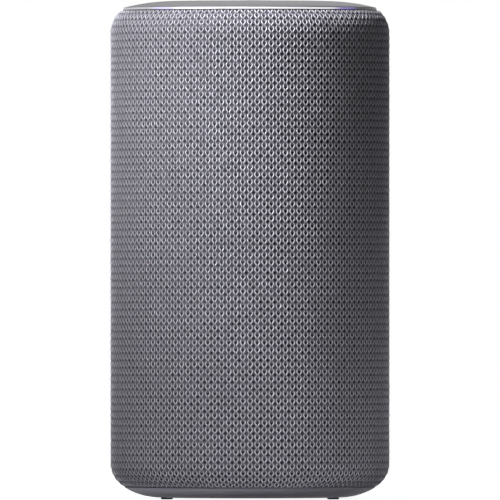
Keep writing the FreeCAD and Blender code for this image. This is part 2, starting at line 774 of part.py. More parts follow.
def make_chamber():
    wall = chamber_wall
    inner_r = chamber_radius - wall
    flat = behind(chamber_flat_y, chamber_flat_z)
    flat_inner = behind(chamber_flat_y - wall, chamber_flat_z - wall)
    outer = disc(chamber_radius, chamber_bottom_z, chamber_top_z).cut(flat)
    cavity = disc(inner_r, chamber_ring_top_z, chamber_top_z + 1).cut(flat_inner)
    body = outer.cut(cavity).cut(disc(woofer_flange_bore + 2.2, 0, chamber_ring_top_z + 1))

    within = disc(chamber_radius - 0.5, far_below, far_above)
    boss = rod_y(tweeter_boss_radius, -speaker_radius, tweeter_boss_y, 0, tweeter_z)
    boss = boss.common(disc(chamber_radius, 0, chamber_top_z))
    pillar_bosses = [disc(3.0, chamber_ring_top_z - 1, chamber_ring_top_z + 6, x, y).common(within)
                     for x, y in around(pillar_count, pillar_circle, 45)]
    lid_bosses = [disc(3.2, chamber_top_z - 12, chamber_top_z, x, y).common(within)
                  for x, y in lid_screw_places()]
    stand_offs = [rod_y(2.6, chamber_flat_y - 1, main_board_y, x, z) for x, z in board_screw_places()]
    body = joined([body, boss] + pillar_bosses + lid_bosses + stand_offs)

    cutters = [
        rod_y(tweeter_plate_radius + hole_clearance, -speaker_radius, tweeter_seat_y, 0, tweeter_z),
        rod_y(tweeter_cup_radius + part_gap, -speaker_radius, tweeter_pocket_y, 0, tweeter_z),
        rod_y(grommet_radius - 1.0, chamber_flat_y - 5, chamber_flat_y + 1, 0, grommet_z),
    ]
    for x, y in around(pillar_count, pillar_circle, 45):
        cutters.append(disc(m3_shank_radius + thread_clearance, far_below, chamber_ring_top_z + 5, x, y))
    for x, y in woofer_screw_places():
        cutters.append(disc(m2_shank_radius + thread_clearance, far_below, chamber_ring_top_z - 0.3, x, y))
    for x, y in lid_screw_places():
        cutters.append(disc(m2_shank_radius + thread_clearance, chamber_top_z - 9, chamber_top_z + 1, x, y))
    for x, z in board_screw_places():
        cutters.append(rod_y(m2_shank_radius + thread_clearance, main_board_y - 4.2, main_board_y + 1, x, z))
    for x, z in tweeter_screw_places():
        cutters.append(rod_y(m2_shank_radius + thread_clearance, -speaker_radius, tweeter_seat_y + 6.2, x, z))
    for x in (-treble_wire_x, treble_wire_x):
        cutters.append(rod_y(wire_radius + 0.05, -speaker_radius, 0, x, tweeter_z))
    parts["chamber_body"] = body.cut(cutters)
    parts["wire_grommet"] = make_grommet()


def make_grommet():
    wall_low, wall_high = chamber_flat_y - chamber_wall, chamber_flat_y
    collar = rod_y(grommet_radius - 1.05, wall_low - 0.8, wall_high + 0.8, 0, grommet_z)
    lips = [rod_y(grommet_radius, wall_low - 0.8, wall_low - seat_gap, 0, grommet_z),
            rod_y(grommet_radius, wall_high + seat_gap, wall_high + 0.8, 0, grommet_z)]
    holes = [rod_y(wire_radius + 0.02, 0, speaker_radius, x, grommet_z) for x in wire_places()]
    return joined([collar] + lips).cut(holes)


def wire_places():
    """Where the four loudspeaker wires pass the grommet."""
    return [(i - 1.5) * wire_spacing for i in range(4)]


def lid_screw_places():
    turns = [math.radians(degrees) for degrees in lid_screw_angles]
    return [(lid_screw_circle * math.cos(turn), lid_screw_circle * math.sin(turn)) for turn in turns]


def board_screw_places():
    low, high = main_board_bottom_z + main_screw_inset, main_board_top_z - main_screw_inset
    return [(side * main_screw_x, z) for side in (-1, 1) for z in (low, high)]


def tweeter_screw_places():
    return [(x, tweeter_z + y) for x, y in around(tweeter_screw_count, tweeter_screw_circle, 90)]


def make_lid():
    plate = disc(chamber_radius, chamber_top_z + seat_gap, lid_top_z).cut(behind(chamber_flat_y, 0))
    tongue_radius = chamber_radius - chamber_wall - 0.2
    tongue = ring(tongue_radius, tongue_radius - 1.6, chamber_top_z - 2.0, chamber_top_z + 0.5)
    tongue = tongue.cut(behind(chamber_flat_y - chamber_wall - 0.2, 0))
    seat = chamber_top_z + seat_gap
    relief = [disc(3.5, chamber_top_z - 3, seat, x, y) for x, y in lid_screw_places()]
    boss_half = tweeter_boss_radius + part_gap
    relief.append(box(-boss_half, boss_half, -speaker_radius, tweeter_boss_y + part_gap,
                      chamber_top_z - 3, seat))
    posts = [disc(frame_post_radius, lid_top_z - 0.5, frame_plate_z, x, y) for x, y in frame_post_places()]
    clips = [box(x - 1.6, x + 1.6, -9, -5, lid_top_z - 0.5, lid_top_z + 4) for x in (-antenna_x, antenna_x)]
    lid = joined([plate, tongue.cut(relief)] + posts + clips)
    cutters = [box(x - 0.5, x + 0.5, -20, 20, lid_top_z + 0.6, far_above) for x in (-antenna_x, antenna_x)]
    for x, y in lid_screw_places():
        cutters.append(disc(m2_shank_radius + hole_clearance, far_below, far_above, x, y))
    for x, y in frame_post_places():
        cutters.append(disc(m2_shank_radius + thread_clearance, frame_plate_z - 8, frame_plate_z + 1, x, y))
    parts["chamber_lid"] = lid.cut(cutters)
    parts["lid_screws"] = separate([
        screw_down(x, y, lid_top_z + m2_head_height, chamber_top_z - 8, m2_shank_radius, m2_head_radius,
                   m2_head_height)
        for x, y in lid_screw_places()
    ])
    parts["antennas"] = separate([
        box(x - 0.4, x + 0.4, -15, 8, lid_top_z + 0.65, lid_top_z + 8.5) for x in (-antenna_x, antenna_x)
    ])


def frame_post_places():
    return [(sx * frame_post_x, sy * frame_post_y) for sx in (-1, 1) for sy in (-1, 1)]


# ---------------------------------------------------------------- tweeter
def make_tweeter():
    front = -speaker_radius
    holes = [rod_y(m2_shank_radius + hole_clearance, front, 0, x, z) for x, z in tweeter_screw_places()]
    holes.append(rod_y(tweeter_bore_radius, front, 0, 0, tweeter_z))
    plate = rod_y(tweeter_plate_radius, tweeter_face_y, tweeter_seat_y, 0, tweeter_z)
    parts["tweeter_faceplate"] = plate.cut(holes)
    parts["tweeter_screws"] = separate([
        screw_y(x, z, tweeter_face_y - 0.9, tweeter_seat_y + 6, m2_shank_radius, m2_head_radius - 0.3, 0.9)
        for x, z in tweeter_screw_places()
    ])

    cup_front = tweeter_seat_y + seat_gap
    cup_back = cup_front + tweeter_cup_depth
    cup_floor = cup_back - 2
    cup = rod_y(tweeter_cup_radius, cup_front, cup_back, 0, tweeter_z)
    cup = cup.cut(rod_y(tweeter_cup_radius - tweeter_cup_wall, front, cup_floor, 0, tweeter_z))
    parts["tweeter_cup"] = cup
    pole_front = cup_front + 0.4
    pole = rod_y(tweeter_magnet_radius + 0.3, pole_front, pole_front + 1.6, 0, tweeter_z)
    magnet = rod_y(tweeter_magnet_radius, pole_front + 1.6, cup_floor, 0, tweeter_z)
    parts["tweeter_magnet"] = separate([magnet, pole])

    dome_y = tweeter_face_y + 0.5
    rim, rise, wall = tweeter_dome_radius, tweeter_dome_rise, tweeter_dome_thickness
    cap_radius = (rim ** 2 + rise ** 2) / (2 * rise)
    centre = Vector(0, dome_y - rise + cap_radius, tweeter_z)
    dome = Part.makeSphere(cap_radius, centre, back).cut(Part.makeSphere(cap_radius - wall, centre, back))
    dome = dome.common(rod_y(rim, dome_y - rise - 1, dome_y, 0, tweeter_z))
    coil = rod_y(tweeter_coil_radius, dome_y - 0.25, cup_front + 2.4, 0, tweeter_z)
    coil = coil.cut(rod_y(tweeter_coil_radius - 0.3, front, 0, 0, tweeter_z))
    parts["tweeter_dome"] = joined([dome, coil])
    suspension = rod_y(tweeter_bore_radius - seat_gap, dome_y - 0.1, dome_y + 0.15, 0, tweeter_z)
    parts["tweeter_surround"] = suspension.cut(rod_y(rim + seat_gap, front, 0, 0, tweeter_z))


# ---------------------------------------------------------------- main board
def make_main_board():
    half = main_board_half_width
    y0, y1 = main_board_y + seat_gap, main_board_back_y
    board = box(-half, half, y0, y1, main_board_bottom_z, main_board_top_z)
    holes = [rod_y(m2_shank_radius + hole_clearance, 0, far_above, x, z) for x, z in board_screw_places()]
    parts["main_board"] = board.cut(holes)

    middle = main_board_middle_z
    chips = [
        box(-11, 2, y1, y1 + 1.2, can_z - 6.5, can_z + 6.5),
        box(3.5, 11.5, y1, y1 + 1.0, can_z - 5.5, can_z + 5.5),
        box(-22, -15, y1, y1 + 1.8, middle - 8, middle - 1),
        box(-21, -16, y1, y1 + 2.4, middle + 6, middle + 11),
        box(16, 21, y1, y1 + 2.4, middle + 6, middle + 11),
        box(-9, 9, y1, y1 + 1.6, main_board_top_z - 5.5, main_board_top_z - 1),
        box(-6, 6, y1, y1 + 2.2, main_board_bottom_z + 2, main_board_bottom_z + 6),
    ]
    for i in range(3):
        chips.append(rod_y(2.4, y1, y1 + 3.2, -8 + i * 8, middle - 13))
    for i in range(4):
        chips.append(box(15, 18, y1, y1 + 0.8, middle - 8 + i * 3, middle - 6.4 + i * 3))
    parts["main_board_components"] = separate(chips)

    w, h, d = can_width / 2, can_height / 2, can_depth
    can = box(-w, w, y1, y1 + d, can_z - h, can_z + h)
    w, h, d = w - can_wall, h - can_wall, d - can_wall
    parts["shield_can"] = can.cut(box(-w, w, y1 - 1, y1 + d, can_z - h, can_z + h))

    plate_y, half_height = y1 + spreader_lift, spreader_height / 2
    plate = box(-spreader_half_width, spreader_half_width, plate_y, plate_y + spreader_thickness,
                middle - half_height, middle + half_height)
    leg_x, leg_z = spreader_half_width - 2, half_height - 2
    legs = [rod_y(1.6, y1 + seat_gap, plate_y + 0.5, sx * leg_x, middle + sz * leg_z)
            for sx in (-1, 1) for sz in (-1, 1)]
    pad = box(-9, 9, y1 + can_depth + seat_gap, plate_y + 0.2, can_z - 6, can_z + 6)
    parts["heat_spreader"] = joined([plate, pad] + legs)
    parts["board_screws"] = separate([
        screw_y(x, z, y1 + m2_head_height + seat_gap, main_board_y - 3.8, m2_shank_radius, m2_head_radius,
                m2_head_height)
        for x, z in board_screw_places()
    ])


# ---------------------------------------------------------------- cables inside
def make_cables():
    ribbon_y = main_board_back_y + 1.6 + ribbon_thickness
    slot_y = main_board_y - 4
    parts["ribbon_cable"] = strip([
        (ribbon_y, main_board_top_z - 5), (ribbon_y, frame_plate_z - 4), (slot_y, frame_plate_z + 2.9),
        (slot_y, control_board_z - seat_gap),
    ], ribbon_width, ribbon_thickness, flat_cable_bend)
    outer_y = chamber_radius + 0.2 + port_cable_thickness / 2
    inner_y = main_board_back_y + 1.1
    start_z, over_z = port_board_top_z - 0.8, chamber_flat_z + 1.4
    parts["port_cable"] = strip([
        (port_board_back_y + seat_gap, start_z), (outer_y, start_z), (outer_y, over_z), (inner_y, over_z),
        (inner_y, main_board_bottom_z + 2 - seat_gap),
    ], port_cable_width, port_cable_thickness, flat_cable_bend)

    through = main_board_y
    spots = wire_places()
    treble, bass = [], []
    for side, near, far in ((-1, spots[1], spots[0]), (1, spots[2], spots[3])):
        x = side * treble_wire_x
        treble.append(wire_along([
            (x, tweeter_pocket_y - 0.26, tweeter_z), (x, tweeter_boss_y + 7, tweeter_z),
            (near, chamber_flat_y - 14, grommet_z), (near, through, grommet_z),
        ], wire_radius))
        x = side * (woofer_flange_bore - 2.4)
        bass.append(wire_along([
            (x, 0, terminal_z + 0.1), (x + side, 0, terminal_z + 9), (x - side, 0, terminal_z + 27),
            (far, chamber_flat_y - 16, grommet_z), (far, through, grommet_z),
        ], wire_radius))
    parts["speaker_wires"] = separate(treble + bass)


# ---------------------------------------------------------------- upper frame and control board
def cap_boss_places():
    return around(4, cap_boss_circle, 45)


def mic_places():
    return [(0.0, 0.0)] + around(mic_count, mic_circle, 30)


def button_places():
    return around(4, button_circle, 0)


def make_upper_frame():
    plate_z = frame_plate_z + seat_gap
    rim_radius = cap_edge_radius - frame_rim_inset
    plate = disc(grille_inner_radius - frame_plate_inset, plate_z, frame_plate_top_z)
    rim = ring(rim_radius, rim_radius - frame_rim_wall, plate_z, frame_plate_z + frame_rim_height)
    ledges = [disc(2.4, frame_plate_top_z - 0.5, control_board_z, x, y) for x, y in cap_boss_places()]
    ledges += [disc(1.8, frame_plate_top_z - 0.5, control_board_z, x, y)
               for x, y in around(4, control_board_radius - 2, 0)]
    frame = joined([plate, rim] + ledges)
    half = ribbon_width / 2 + 1
    cutters = [box(-half, half, main_board_y - 7, main_board_back_y + 2.4, far_below,
                   frame_plate_top_z + 1)]
    for x, y in frame_post_places() + cap_boss_places():
        cutters.append(disc(m2_shank_radius + hole_clearance, far_below, far_above, x, y))
    parts["top_frame"] = frame.cut(cutters)
    screws = [screw_down(x, y, frame_plate_top_z + m2_head_height, frame_plate_z - 7, m2_shank_radius,
                         m2_head_radius, m2_head_height) for x, y in frame_post_places()]
    screws += [screw_up(x, y, frame_plate_z - m2_head_height, control_top_z + 4.2, m2_shank_radius,
                        m2_head_radius, m2_head_height) for x, y in cap_boss_places()]
    parts["frame_screws"] = separate(screws)


def make_control_board():
    board = disc(control_board_radius, control_board_z, control_top_z)
    holes = [disc(m2_shank_radius + hole_clearance, far_below, far_above, x, y) for x, y in cap_boss_places()]
    parts["control_board"] = board.cut(holes)

    leds = []
    for i in range(led_count):
        led = box(led_circle - 0.9, led_circle + 0.9, -1.5, 1.5, control_top_z, control_top_z + 0.8)
        led.rotate(Vector(0, 0, 0), up, (i + 0.5) * 360 / led_count)
        leds.append(led)
    parts["status_leds"] = separate(leds)

    mics, boots = [], []
    for x, y in mic_places():
        mics.append(box(x - 1.75, x + 1.75, y - 1.3, y + 1.3, control_top_z, mic_top_z))
        boots.append(ring(gasket_radius, gasket_bore_radius, mic_top_z, cap_inner_z - seat_gap, x, y))
    parts["microphones"] = separate(mics)
    parts["microphone_gaskets"] = separate(boots)

    half = switch_side / 2
    bore, floor = plunger_radius + plunger_clearance, plunger_bottom_z - button_travel - 0.1
    switches = []
    for x, y in button_places():
        body = box(x - half, x + half, y - half, y + half, control_top_z, control_top_z + switch_height)
        switches.append(body.cut(disc(bore, floor, far_above, x, y)))
    parts["switch_bodies"] = separate(switches)


# ---------------------------------------------------------------- cap, lit ring and buttons
def make_cap():
    rise, run = cap_edge_drop, cap_slope_width
    sweep = (run ** 2 + rise ** 2) / (2 * rise)
    half_turn = math.asin(run / sweep) / 2
    middle = (cap_flat_radius + sweep * math.sin(half_turn),
              speaker_height - sweep * (1 - math.cos(half_turn)))
    shoulder = mic_circle + gasket_radius + cap_rim_gap + cap_rim_bevel
    outline = lines([(0, cap_inner_z), (0, speaker_height), (cap_flat_radius, speaker_height)])
    outline.append(arc((cap_flat_radius, speaker_height), middle, (cap_edge_radius, cap_edge_z)))
    outline += lines([(cap_edge_radius, cap_edge_z), (shoulder, cap_edge_z),
                      (shoulder - cap_rim_bevel, cap_inner_z), (0, cap_inner_z)])
    bosses = [disc(cap_boss_radius, control_top_z + part_gap, cap_inner_z + 0.4, x, y)
              for x, y in cap_boss_places()]
    cap = joined([turned(outline)] + bosses)
    holes = [disc(button_radius + button_hole_clearance, cap_inner_z - 3, far_above, x, y)
             for x, y in button_places()]
    holes += [disc(mic_port_radius, cap_inner_z - 3, far_above, x, y) for x, y in mic_places()]
    holes += [disc(m2_shank_radius + thread_clearance, far_below, control_top_z + 4.6, x, y)
              for x, y in cap_boss_places()]
    parts["top_cap"] = cap.cut(holes)

    leg_inner = cap_edge_radius - ring_leg_inner_inset
    leg_outer = cap_edge_radius - ring_leg_outer_inset
    plate = ring(cap_edge_radius + ring_overhang, leg_inner, ring_bottom_z, ring_top_z)
    leg = ring(leg_outer, leg_inner, control_top_z + 1.0, ring_bottom_z + 0.1)
    parts["light_ring"] = joined([plate, leg])
    trim_top = ring_bottom_z - 0.05
    trim_bottom = trim_top - trim_ring_thickness
    trim_outer = cap_edge_radius + trim_ring_overhang
    parts["trim_ring"] = ring(trim_outer, trim_outer - trim_ring_width, trim_bottom, trim_top)


def make_buttons():
    names = ["mute", "volume_up", "action", "volume_down"]
    plunger_top_z = plunger_bottom_z + plunger_height
    flange_top_z = cap_inner_z - 0.1
    flange_z = flange_top_z - button_flange_thickness
    for name, (x, y) in zip(names, button_places()):
        crown = disc(button_radius, flange_top_z - 0.2, speaker_height, x, y)
        flange = disc(button_radius + button_flange_lap, flange_z, flange_top_z, x, y)
        stem = disc(stem_radius, plunger_top_z, flange_top_z - 0.2, x, y)
        dish_z = speaker_height + button_dish_radius - button_dish_depth
        dish = Part.makeSphere(button_dish_radius, Vector(x, y, dish_z))
        parts[name + "_button"] = joined([crown, flange, stem]).cut(dish)
        parts[name + "_plunger"] = disc(plunger_radius, plunger_bottom_z, plunger_top_z, x, y)


def main():
    make_sleeve()
    make_grille()
    make_base()
    make_sockets()
    make_deflector()
    make_woofer_frame()
    make_woofer_motor()
    make_woofer_cone()
    make_woofer_suspension()
    make_chamber()
    make_lid()
    make_tweeter()
    make_main_board()
    make_cables()
    make_upper_frame()
    make_control_board()
    make_cap()
    make_buttons()
    os.makedirs("parts", exist_ok=True)
    for name, shape in parts.items():
        shape.exportStep(os.path.join("parts", name + ".step"))
    print(len(parts), "nodes written")


main()
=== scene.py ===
import math

import bmesh
import bpy
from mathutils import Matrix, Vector


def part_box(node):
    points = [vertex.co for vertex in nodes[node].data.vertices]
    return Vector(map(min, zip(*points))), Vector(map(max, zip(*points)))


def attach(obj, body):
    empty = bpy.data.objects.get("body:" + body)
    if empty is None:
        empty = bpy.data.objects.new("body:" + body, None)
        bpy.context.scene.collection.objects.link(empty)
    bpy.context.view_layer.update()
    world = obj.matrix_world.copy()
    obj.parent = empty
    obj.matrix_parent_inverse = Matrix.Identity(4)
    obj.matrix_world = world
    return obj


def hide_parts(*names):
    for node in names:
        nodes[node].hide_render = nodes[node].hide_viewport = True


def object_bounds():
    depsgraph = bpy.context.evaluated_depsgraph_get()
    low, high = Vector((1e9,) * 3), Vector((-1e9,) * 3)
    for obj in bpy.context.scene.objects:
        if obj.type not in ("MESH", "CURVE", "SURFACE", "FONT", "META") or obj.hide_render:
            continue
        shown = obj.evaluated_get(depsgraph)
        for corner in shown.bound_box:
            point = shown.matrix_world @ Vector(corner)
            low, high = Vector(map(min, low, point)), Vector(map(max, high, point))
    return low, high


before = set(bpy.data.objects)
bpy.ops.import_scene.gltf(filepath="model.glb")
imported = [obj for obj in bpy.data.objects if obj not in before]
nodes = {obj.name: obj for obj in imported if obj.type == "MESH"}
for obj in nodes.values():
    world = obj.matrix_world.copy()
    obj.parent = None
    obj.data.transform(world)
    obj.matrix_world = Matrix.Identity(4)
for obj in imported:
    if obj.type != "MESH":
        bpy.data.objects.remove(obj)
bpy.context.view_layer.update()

low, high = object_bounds()
mm = 0.001
print("frame loaded:", len(nodes), "nodes")


class Value:
    # a node socket that can be used in plain sums
    def __init__(self, maker, socket):
        self.maker, self.socket = maker, socket

    def sum(self, operation, *others):
        values = dict(enumerate([self, *others]))
        return self.maker.number("ShaderNodeMath", {"operation": operation}, values)

    def __add__(self, other):
        return self.sum("ADD", other)

    def __radd__(self, other):
        return self.sum("ADD", other)

    def __sub__(self, other):
        return self.sum("SUBTRACT", other)

    def __rsub__(self, other):
        return (self * -1) + other

    def __mul__(self, other):
        return self.sum("MULTIPLY", other)

    def __rmul__(self, other):
        return self.sum("MULTIPLY", other)

    def __truediv__(self, other):
        return self.sum("DIVIDE", other)

    def __pow__(self, other):
        return self.sum("POWER", other)

    def __mod__(self, other):
        return self.sum("FLOORED_MODULO", other)

    def __abs__(self):
        return self.sum("ABSOLUTE")

    def __gt__(self, other):
        return self.sum("GREATER_THAN", other)

    def __lt__(self, other):
        return self.sum("LESS_THAN", other)

    def cos(self):
        return self.sum("COSINE")

    def sin(self):
        return self.sum("SINE")

    def floor(self):
        return self.sum("FLOOR")

    def root(self):
        return self.sum("SQRT")

    def least(self, other):
        return self.sum("MINIMUM", other)

    def most(self, other):
        return self.sum("MAXIMUM", other)

    def held(self):
        return self.least(1.0).most(0.0)

    def angleTo(self, other):
        return self.sum("ARCTAN2", other)

    def smooth(self, start, end):
        # 0 below start and 1 above end
        share = ((self - start) / (end - start)).held()
        return share * share * (3.0 - 2.0 * share)


class Maker:
    # makes nodes in one tree
    def __init__(self, tree):
        self.tree = tree

    def feed(self, socket, value):
        if isinstance(value, tuple) and socket.type == "RGBA" and len(value) == 3:
            value = (*value, 1.0)
        if isinstance(value, Value):
            self.tree.links.new(value.socket, socket)
        elif isinstance(value, bpy.types.NodeSocket):
            self.tree.links.new(value, socket)
        else:
            socket.default_value = value

    def node(self, kind, settings=None, values=None):
        made = self.tree.nodes.new(kind)
        for key, value in (settings or {}).items():
            if key == "stops":
                ramp = made.color_ramp
                while len(ramp.elements) < len(value):
                    ramp.elements.new(0.5)
                for element, (place, colour) in zip(ramp.elements, value):
                    element.position = place
                    element.color = (*colour, 1.0) if len(colour) == 3 else colour
            else:
                setattr(made, key, value)
        for key, value in (values or {}).items():
            self.feed(made.inputs[key], value)
        return made

    def number(self, kind, settings=None, values=None, output=0):
        return Value(self, self.node(kind, settings, values).outputs[output])

    def mixColour(self, share, first, second):
        made = self.node("ShaderNodeMix", {"data_type": "RGBA"})
        self.feed(made.inputs[0], share)
        self.feed(made.inputs[6], first)
        self.feed(made.inputs[7], second)
        return Value(self, made.outputs[2])


def newFinish(name):
    material = bpy.data.materials.new(name)
    material.use_nodes = True
    tree = material.node_tree
    tree.nodes.clear()
    maker = Maker(tree)
    shader = maker.node("ShaderNodeBsdfPrincipled")
    output = maker.node("ShaderNodeOutputMaterial", None, {"Surface": shader.outputs[0]})
    place = maker.node("ShaderNodeTexCoord").outputs["Object"]
    return material, maker, shader, output, place


def noiseOn(maker, place, scale, detail=3.0, roughness=0.5):
    # noise from 0 to 1, with scale in repeats per metre
    return maker.number("ShaderNodeTexNoise", None, {
        "Vector": place, "Scale": scale, "Detail": detail, "Roughness": roughness})


def bump(maker, shader, height, distance, strength=1.0):
    made = maker.node("ShaderNodeBump", None, {"Height": height, "Distance": distance, "Strength": strength})
    maker.feed(shader.inputs["Normal"], Value(maker, made.outputs[0]))


def shade(colour, factor):
    return tuple(channel * factor for channel in colour)


def mouldedPlastic(name, colour, roughness=0.5, grain=5200.0, depth=0.012, mottle=0.05, gloss=0.3):
    # spark-eroded mould texture with a slow change in colour and shine
    material, maker, shader, output, place = newFinish(name)
    slow = noiseOn(maker, place, 60.0, 2.0)
    fine = noiseOn(maker, place, grain, 2.0)
    maker.feed(shader.inputs["Base Color"], maker.mixColour(slow, shade(colour, 1 - mottle), shade(colour, 1 + mottle)))
    maker.feed(shader.inputs["Roughness"], roughness - 0.06 + slow * 0.08 + fine * 0.04)
    shader.inputs["Specular IOR Level"].default_value = gloss
    bump(maker, shader, fine, depth * mm)
    return material


def turnedMetal(name, colour, roughness=0.32, lines=9000.0):
    material, maker, shader, output, place = newFinish(name)
    xyz = maker.node("ShaderNodeSeparateXYZ", None, {"Vector": place})
    x, y = Value(maker, xyz.outputs[0]), Value(maker, xyz.outputs[1])
    reach = (x * x + y * y).root()
    ripple = ((reach * lines).sin() + 1.0) * 0.5
    stain = noiseOn(maker, place, 220.0, 4.0)
    shader.inputs["Metallic"].default_value = 1.0
    maker.feed(shader.inputs["Base Color"], maker.mixColour(stain, shade(colour, 0.82), shade(colour, 1.08)))
    maker.feed(shader.inputs["Roughness"], roughness + stain * 0.12 + ripple * 0.05)
    bump(maker, shader, ripple, 0.004 * mm)
    return material


def softRubber(name, colour, roughness=0.78):
    material, maker, shader, output, place = newFinish(name)
    dust = noiseOn(maker, place, 900.0, 5.0)
    fine = noiseOn(maker, place, 7000.0, 2.0)
    maker.feed(shader.inputs["Base Color"], maker.mixColour(dust.smooth(0.45, 0.8), colour, shade(colour, 1.7)))
    maker.feed(shader.inputs["Roughness"], roughness + fine * 0.08)
    bump(maker, shader, fine, 0.015 * mm)
    return material


def solderMask(name, flatAxis):
    # a green board with lighter copper runs under the mask; flatAxis is the board's normal
    material, maker, shader, output, place = newFinish(name)
    xyz = maker.node("ShaderNodeSeparateXYZ", None, {"Vector": place})
    spare = [axis for axis in range(3) if axis != flatAxis]
    u, v = Value(maker, xyz.outputs[spare[0]]), Value(maker, xyz.outputs[spare[1]])
    cell = noiseOn(maker, place, 130.0, 0.0)
    runs = ((u * 900.0 + (cell * 6.0).floor() * 1.7) % 1.0 < 0.42) * (cell > 0.48)
    cross = ((v * 900.0 + (cell * 5.0).floor() * 2.3) % 1.0 < 0.4) * (cell < 0.44)
    copper = runs.most(cross)
    maker.feed(shader.inputs["Base Color"], maker.mixColour(copper, (0.010, 0.085, 0.040), (0.035, 0.19, 0.085)))
    maker.feed(shader.inputs["Roughness"], 0.28 + copper * 0.12)
    bump(maker, shader, copper, 0.03 * mm)
    return material


def pressedPulp(name, colour):
    material, maker, shader, output, place = newFinish(name)
    fibre = noiseOn(maker, place, 2600.0, 6.0, 0.7)
    maker.feed(shader.inputs["Base Color"], maker.mixColour(fibre, shade(colour, 0.7), shade(colour, 1.5)))
    maker.feed(shader.inputs["Roughness"], 0.72 + fibre * 0.2)
    bump(maker, shader, fibre, 0.05 * mm)
    return material


def printedFilm(name, colour, lines):
    # a flat cable: pale film with a darker line for each wire
    material, maker, shader, output, place = newFinish(name)
    xyz = maker.node("ShaderNodeSeparateXYZ", None, {"Vector": place})
    x = Value(maker, xyz.outputs[0])
    wave = ((x * lines * 2 * math.pi).cos() + 1.0) * 0.5
    maker.feed(shader.inputs["Base Color"], maker.mixColour(wave, shade(colour, 0.72), colour))
    maker.feed(shader.inputs["Roughness"], 0.3 + wave * 0.15)
    bump(maker, shader, wave, 0.05 * mm)
    return material


def fabricYarn():
    # heather polyester: each yarn mixes pale and dark filaments, twisted along its length, and its colour is darkened
    # with painted shade where the yarn sinks behind its neighbours
    material, maker, shader, output, place = newFinish("heatherYarn")
    fleck = noiseOn(maker, place, 1500.0, 3.0, 0.65)
    filament = noiseOn(maker, place, 6500.0, 2.0)
    drift = noiseOn(maker, place, 35.0, 2.0)
    tone = (fleck * 0.9 + drift * 0.1).smooth(0.36, 0.64)
    # painted shade: the colour is mixed towards a near-black copy of the dark yarn where the yarn sinks
    sunk = maker.number("ShaderNodeAttribute", {"attribute_name": "sunk"}, None, 2) * knit["shadow"]
    colour = maker.mixColour(tone, knit["darkYarn"], knit["paleYarn"])
    colour = maker.mixColour(sunk, colour, shade(knit["darkYarn"], 0.12))
    maker.feed(shader.inputs["Base Color"], colour)
    maker.feed(shader.inputs["Roughness"], 0.58 + filament * 0.2)
    shader.inputs["Specular IOR Level"].default_value = 0.03
    bump(maker, shader, filament, 0.02 * mm)
    return material


def backingCloth():
    # the fine inner face that shows between the rings, painted near-black where the ring holes and the gaps between
    # rings fall, as painted shade for the depth of the holes; its map's u counts columns and v counts rows
    material, maker, shader, output, place = newFinish("backingCloth")
    chart = maker.node("ShaderNodeUVMap", {"uv_map": "knitMap"}).outputs[0]
    xyz = maker.node("ShaderNodeSeparateXYZ", None, {"Vector": chart})
    u, v = Value(maker, xyz.outputs[0]), Value(maker, xyz.outputs[1])
    across = (u * 2 * math.pi).cos()
    along = (v * 2 * math.pi).cos()
    # painted shade: masks for the ring holes and the gaps between rings, where the colour goes near-black; a noise
    # patch varies the gaps' darkness
    ringHoleShade = (across * 0.5 - (v * 2 * math.pi + 0.9).cos() * 0.5).smooth(0.35, 0.95)
    gapHoleShade = (along * 0.5 - across * 0.5).smooth(0.45, 0.95)
    patch = noiseOn(maker, place, 420.0, 1.0).smooth(0.4, 0.6)
    dark = (ringHoleShade * 0.85).most(gapHoleShade * (0.35 + patch * 0.6))
    fleck = noiseOn(maker, place, 2200.0, 3.0)
    pale = maker.mixColour(fleck, shade(knit["backing"], 0.75), shade(knit["backing"], 1.3))
    maker.feed(shader.inputs["Base Color"], maker.mixColour(dark, pale, shade(knit["backing"], 0.12)))
    maker.feed(shader.inputs["Roughness"], 0.85 + fleck * 0.1)
    shader.inputs["Specular IOR Level"].default_value = 0.05
    bump(maker, shader, fleck, 0.05 * mm)
    return material


knit = {
    "columns": 123, "firstTurn": math.radians(0.03), "rowPitch": 2.1556 * mm, "pinchHeight": 80.18 * mm,
    # shadow is the share of painted shade mixed into the yarn's colour where it sinks
    "halfWidth": 0.222, "swell": 0.122, "yarnRadius": 0.17 * mm, "depth": 0.13 * mm, "depthPhase": 0.14, "skew": 2.4, "shadow": 0.6,
    "flatness": 0.42, "overEdge": 0.05 * mm, "pointsPerRow": 8, "yarnSides": 4, "panels": 6,
    "backingInset": 0.28 * mm, "backingThickness": 0.4 * mm,
    "topRadius": 9.2 * mm, "topTurn": math.radians(46.8), "lowRadius": 8.0 * mm, "lowTurn": math.radians(60.7),
    "looseness": 0.04 * mm, "portMargin": 0.25 * mm, "portLap": 1.4 * mm, "paleYarn": (0.84, 0.83, 0.93), "darkYarn": (0.53, 0.52, 0.59),
    "backing": (0.160, 0.156, 0.185),
}
sleeveLow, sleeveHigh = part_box("fabric_sleeve")
knit["radius"] = sleeveHigh.x
knit["lowLength"] = knit["lowRadius"] * knit["lowTurn"]
knit["topLength"] = knit["topRadius"] * knit["topTurn"]


def seamHeights():
    # where the straight side starts and ends
    drop = knit["lowRadius"] * math.sin(knit["lowTurn"])
    rise = knit["topRadius"] * math.sin(knit["topTurn"])
    return sleeveLow.z + drop, sleeveHigh.z - rise


def sideAt(length, inset):
    # radius and height at a length along the sleeve's outline, measured up from its lower edge
    start, end = seamHeights()
    middle = end - start
    if length < knit["lowLength"]:
        turn = knit["lowTurn"] - length / knit["lowRadius"]
        centre = knit["radius"] - knit["lowRadius"]
        reach = knit["lowRadius"] - inset
        return centre + reach * math.cos(turn), start - reach * math.sin(turn)
    if length < knit["lowLength"] + middle:
        return knit["radius"] - inset, start + length - knit["lowLength"]
    turn = (length - knit["lowLength"] - middle) / knit["topRadius"]
    centre = knit["radius"] - knit["topRadius"]
    reach = knit["topRadius"] - inset
    return centre + reach * math.cos(turn), end + reach * math.sin(turn)


def sleeveLength():
    start, end = seamHeights()
    return knit["lowLength"] + knit["topLength"] + end - start


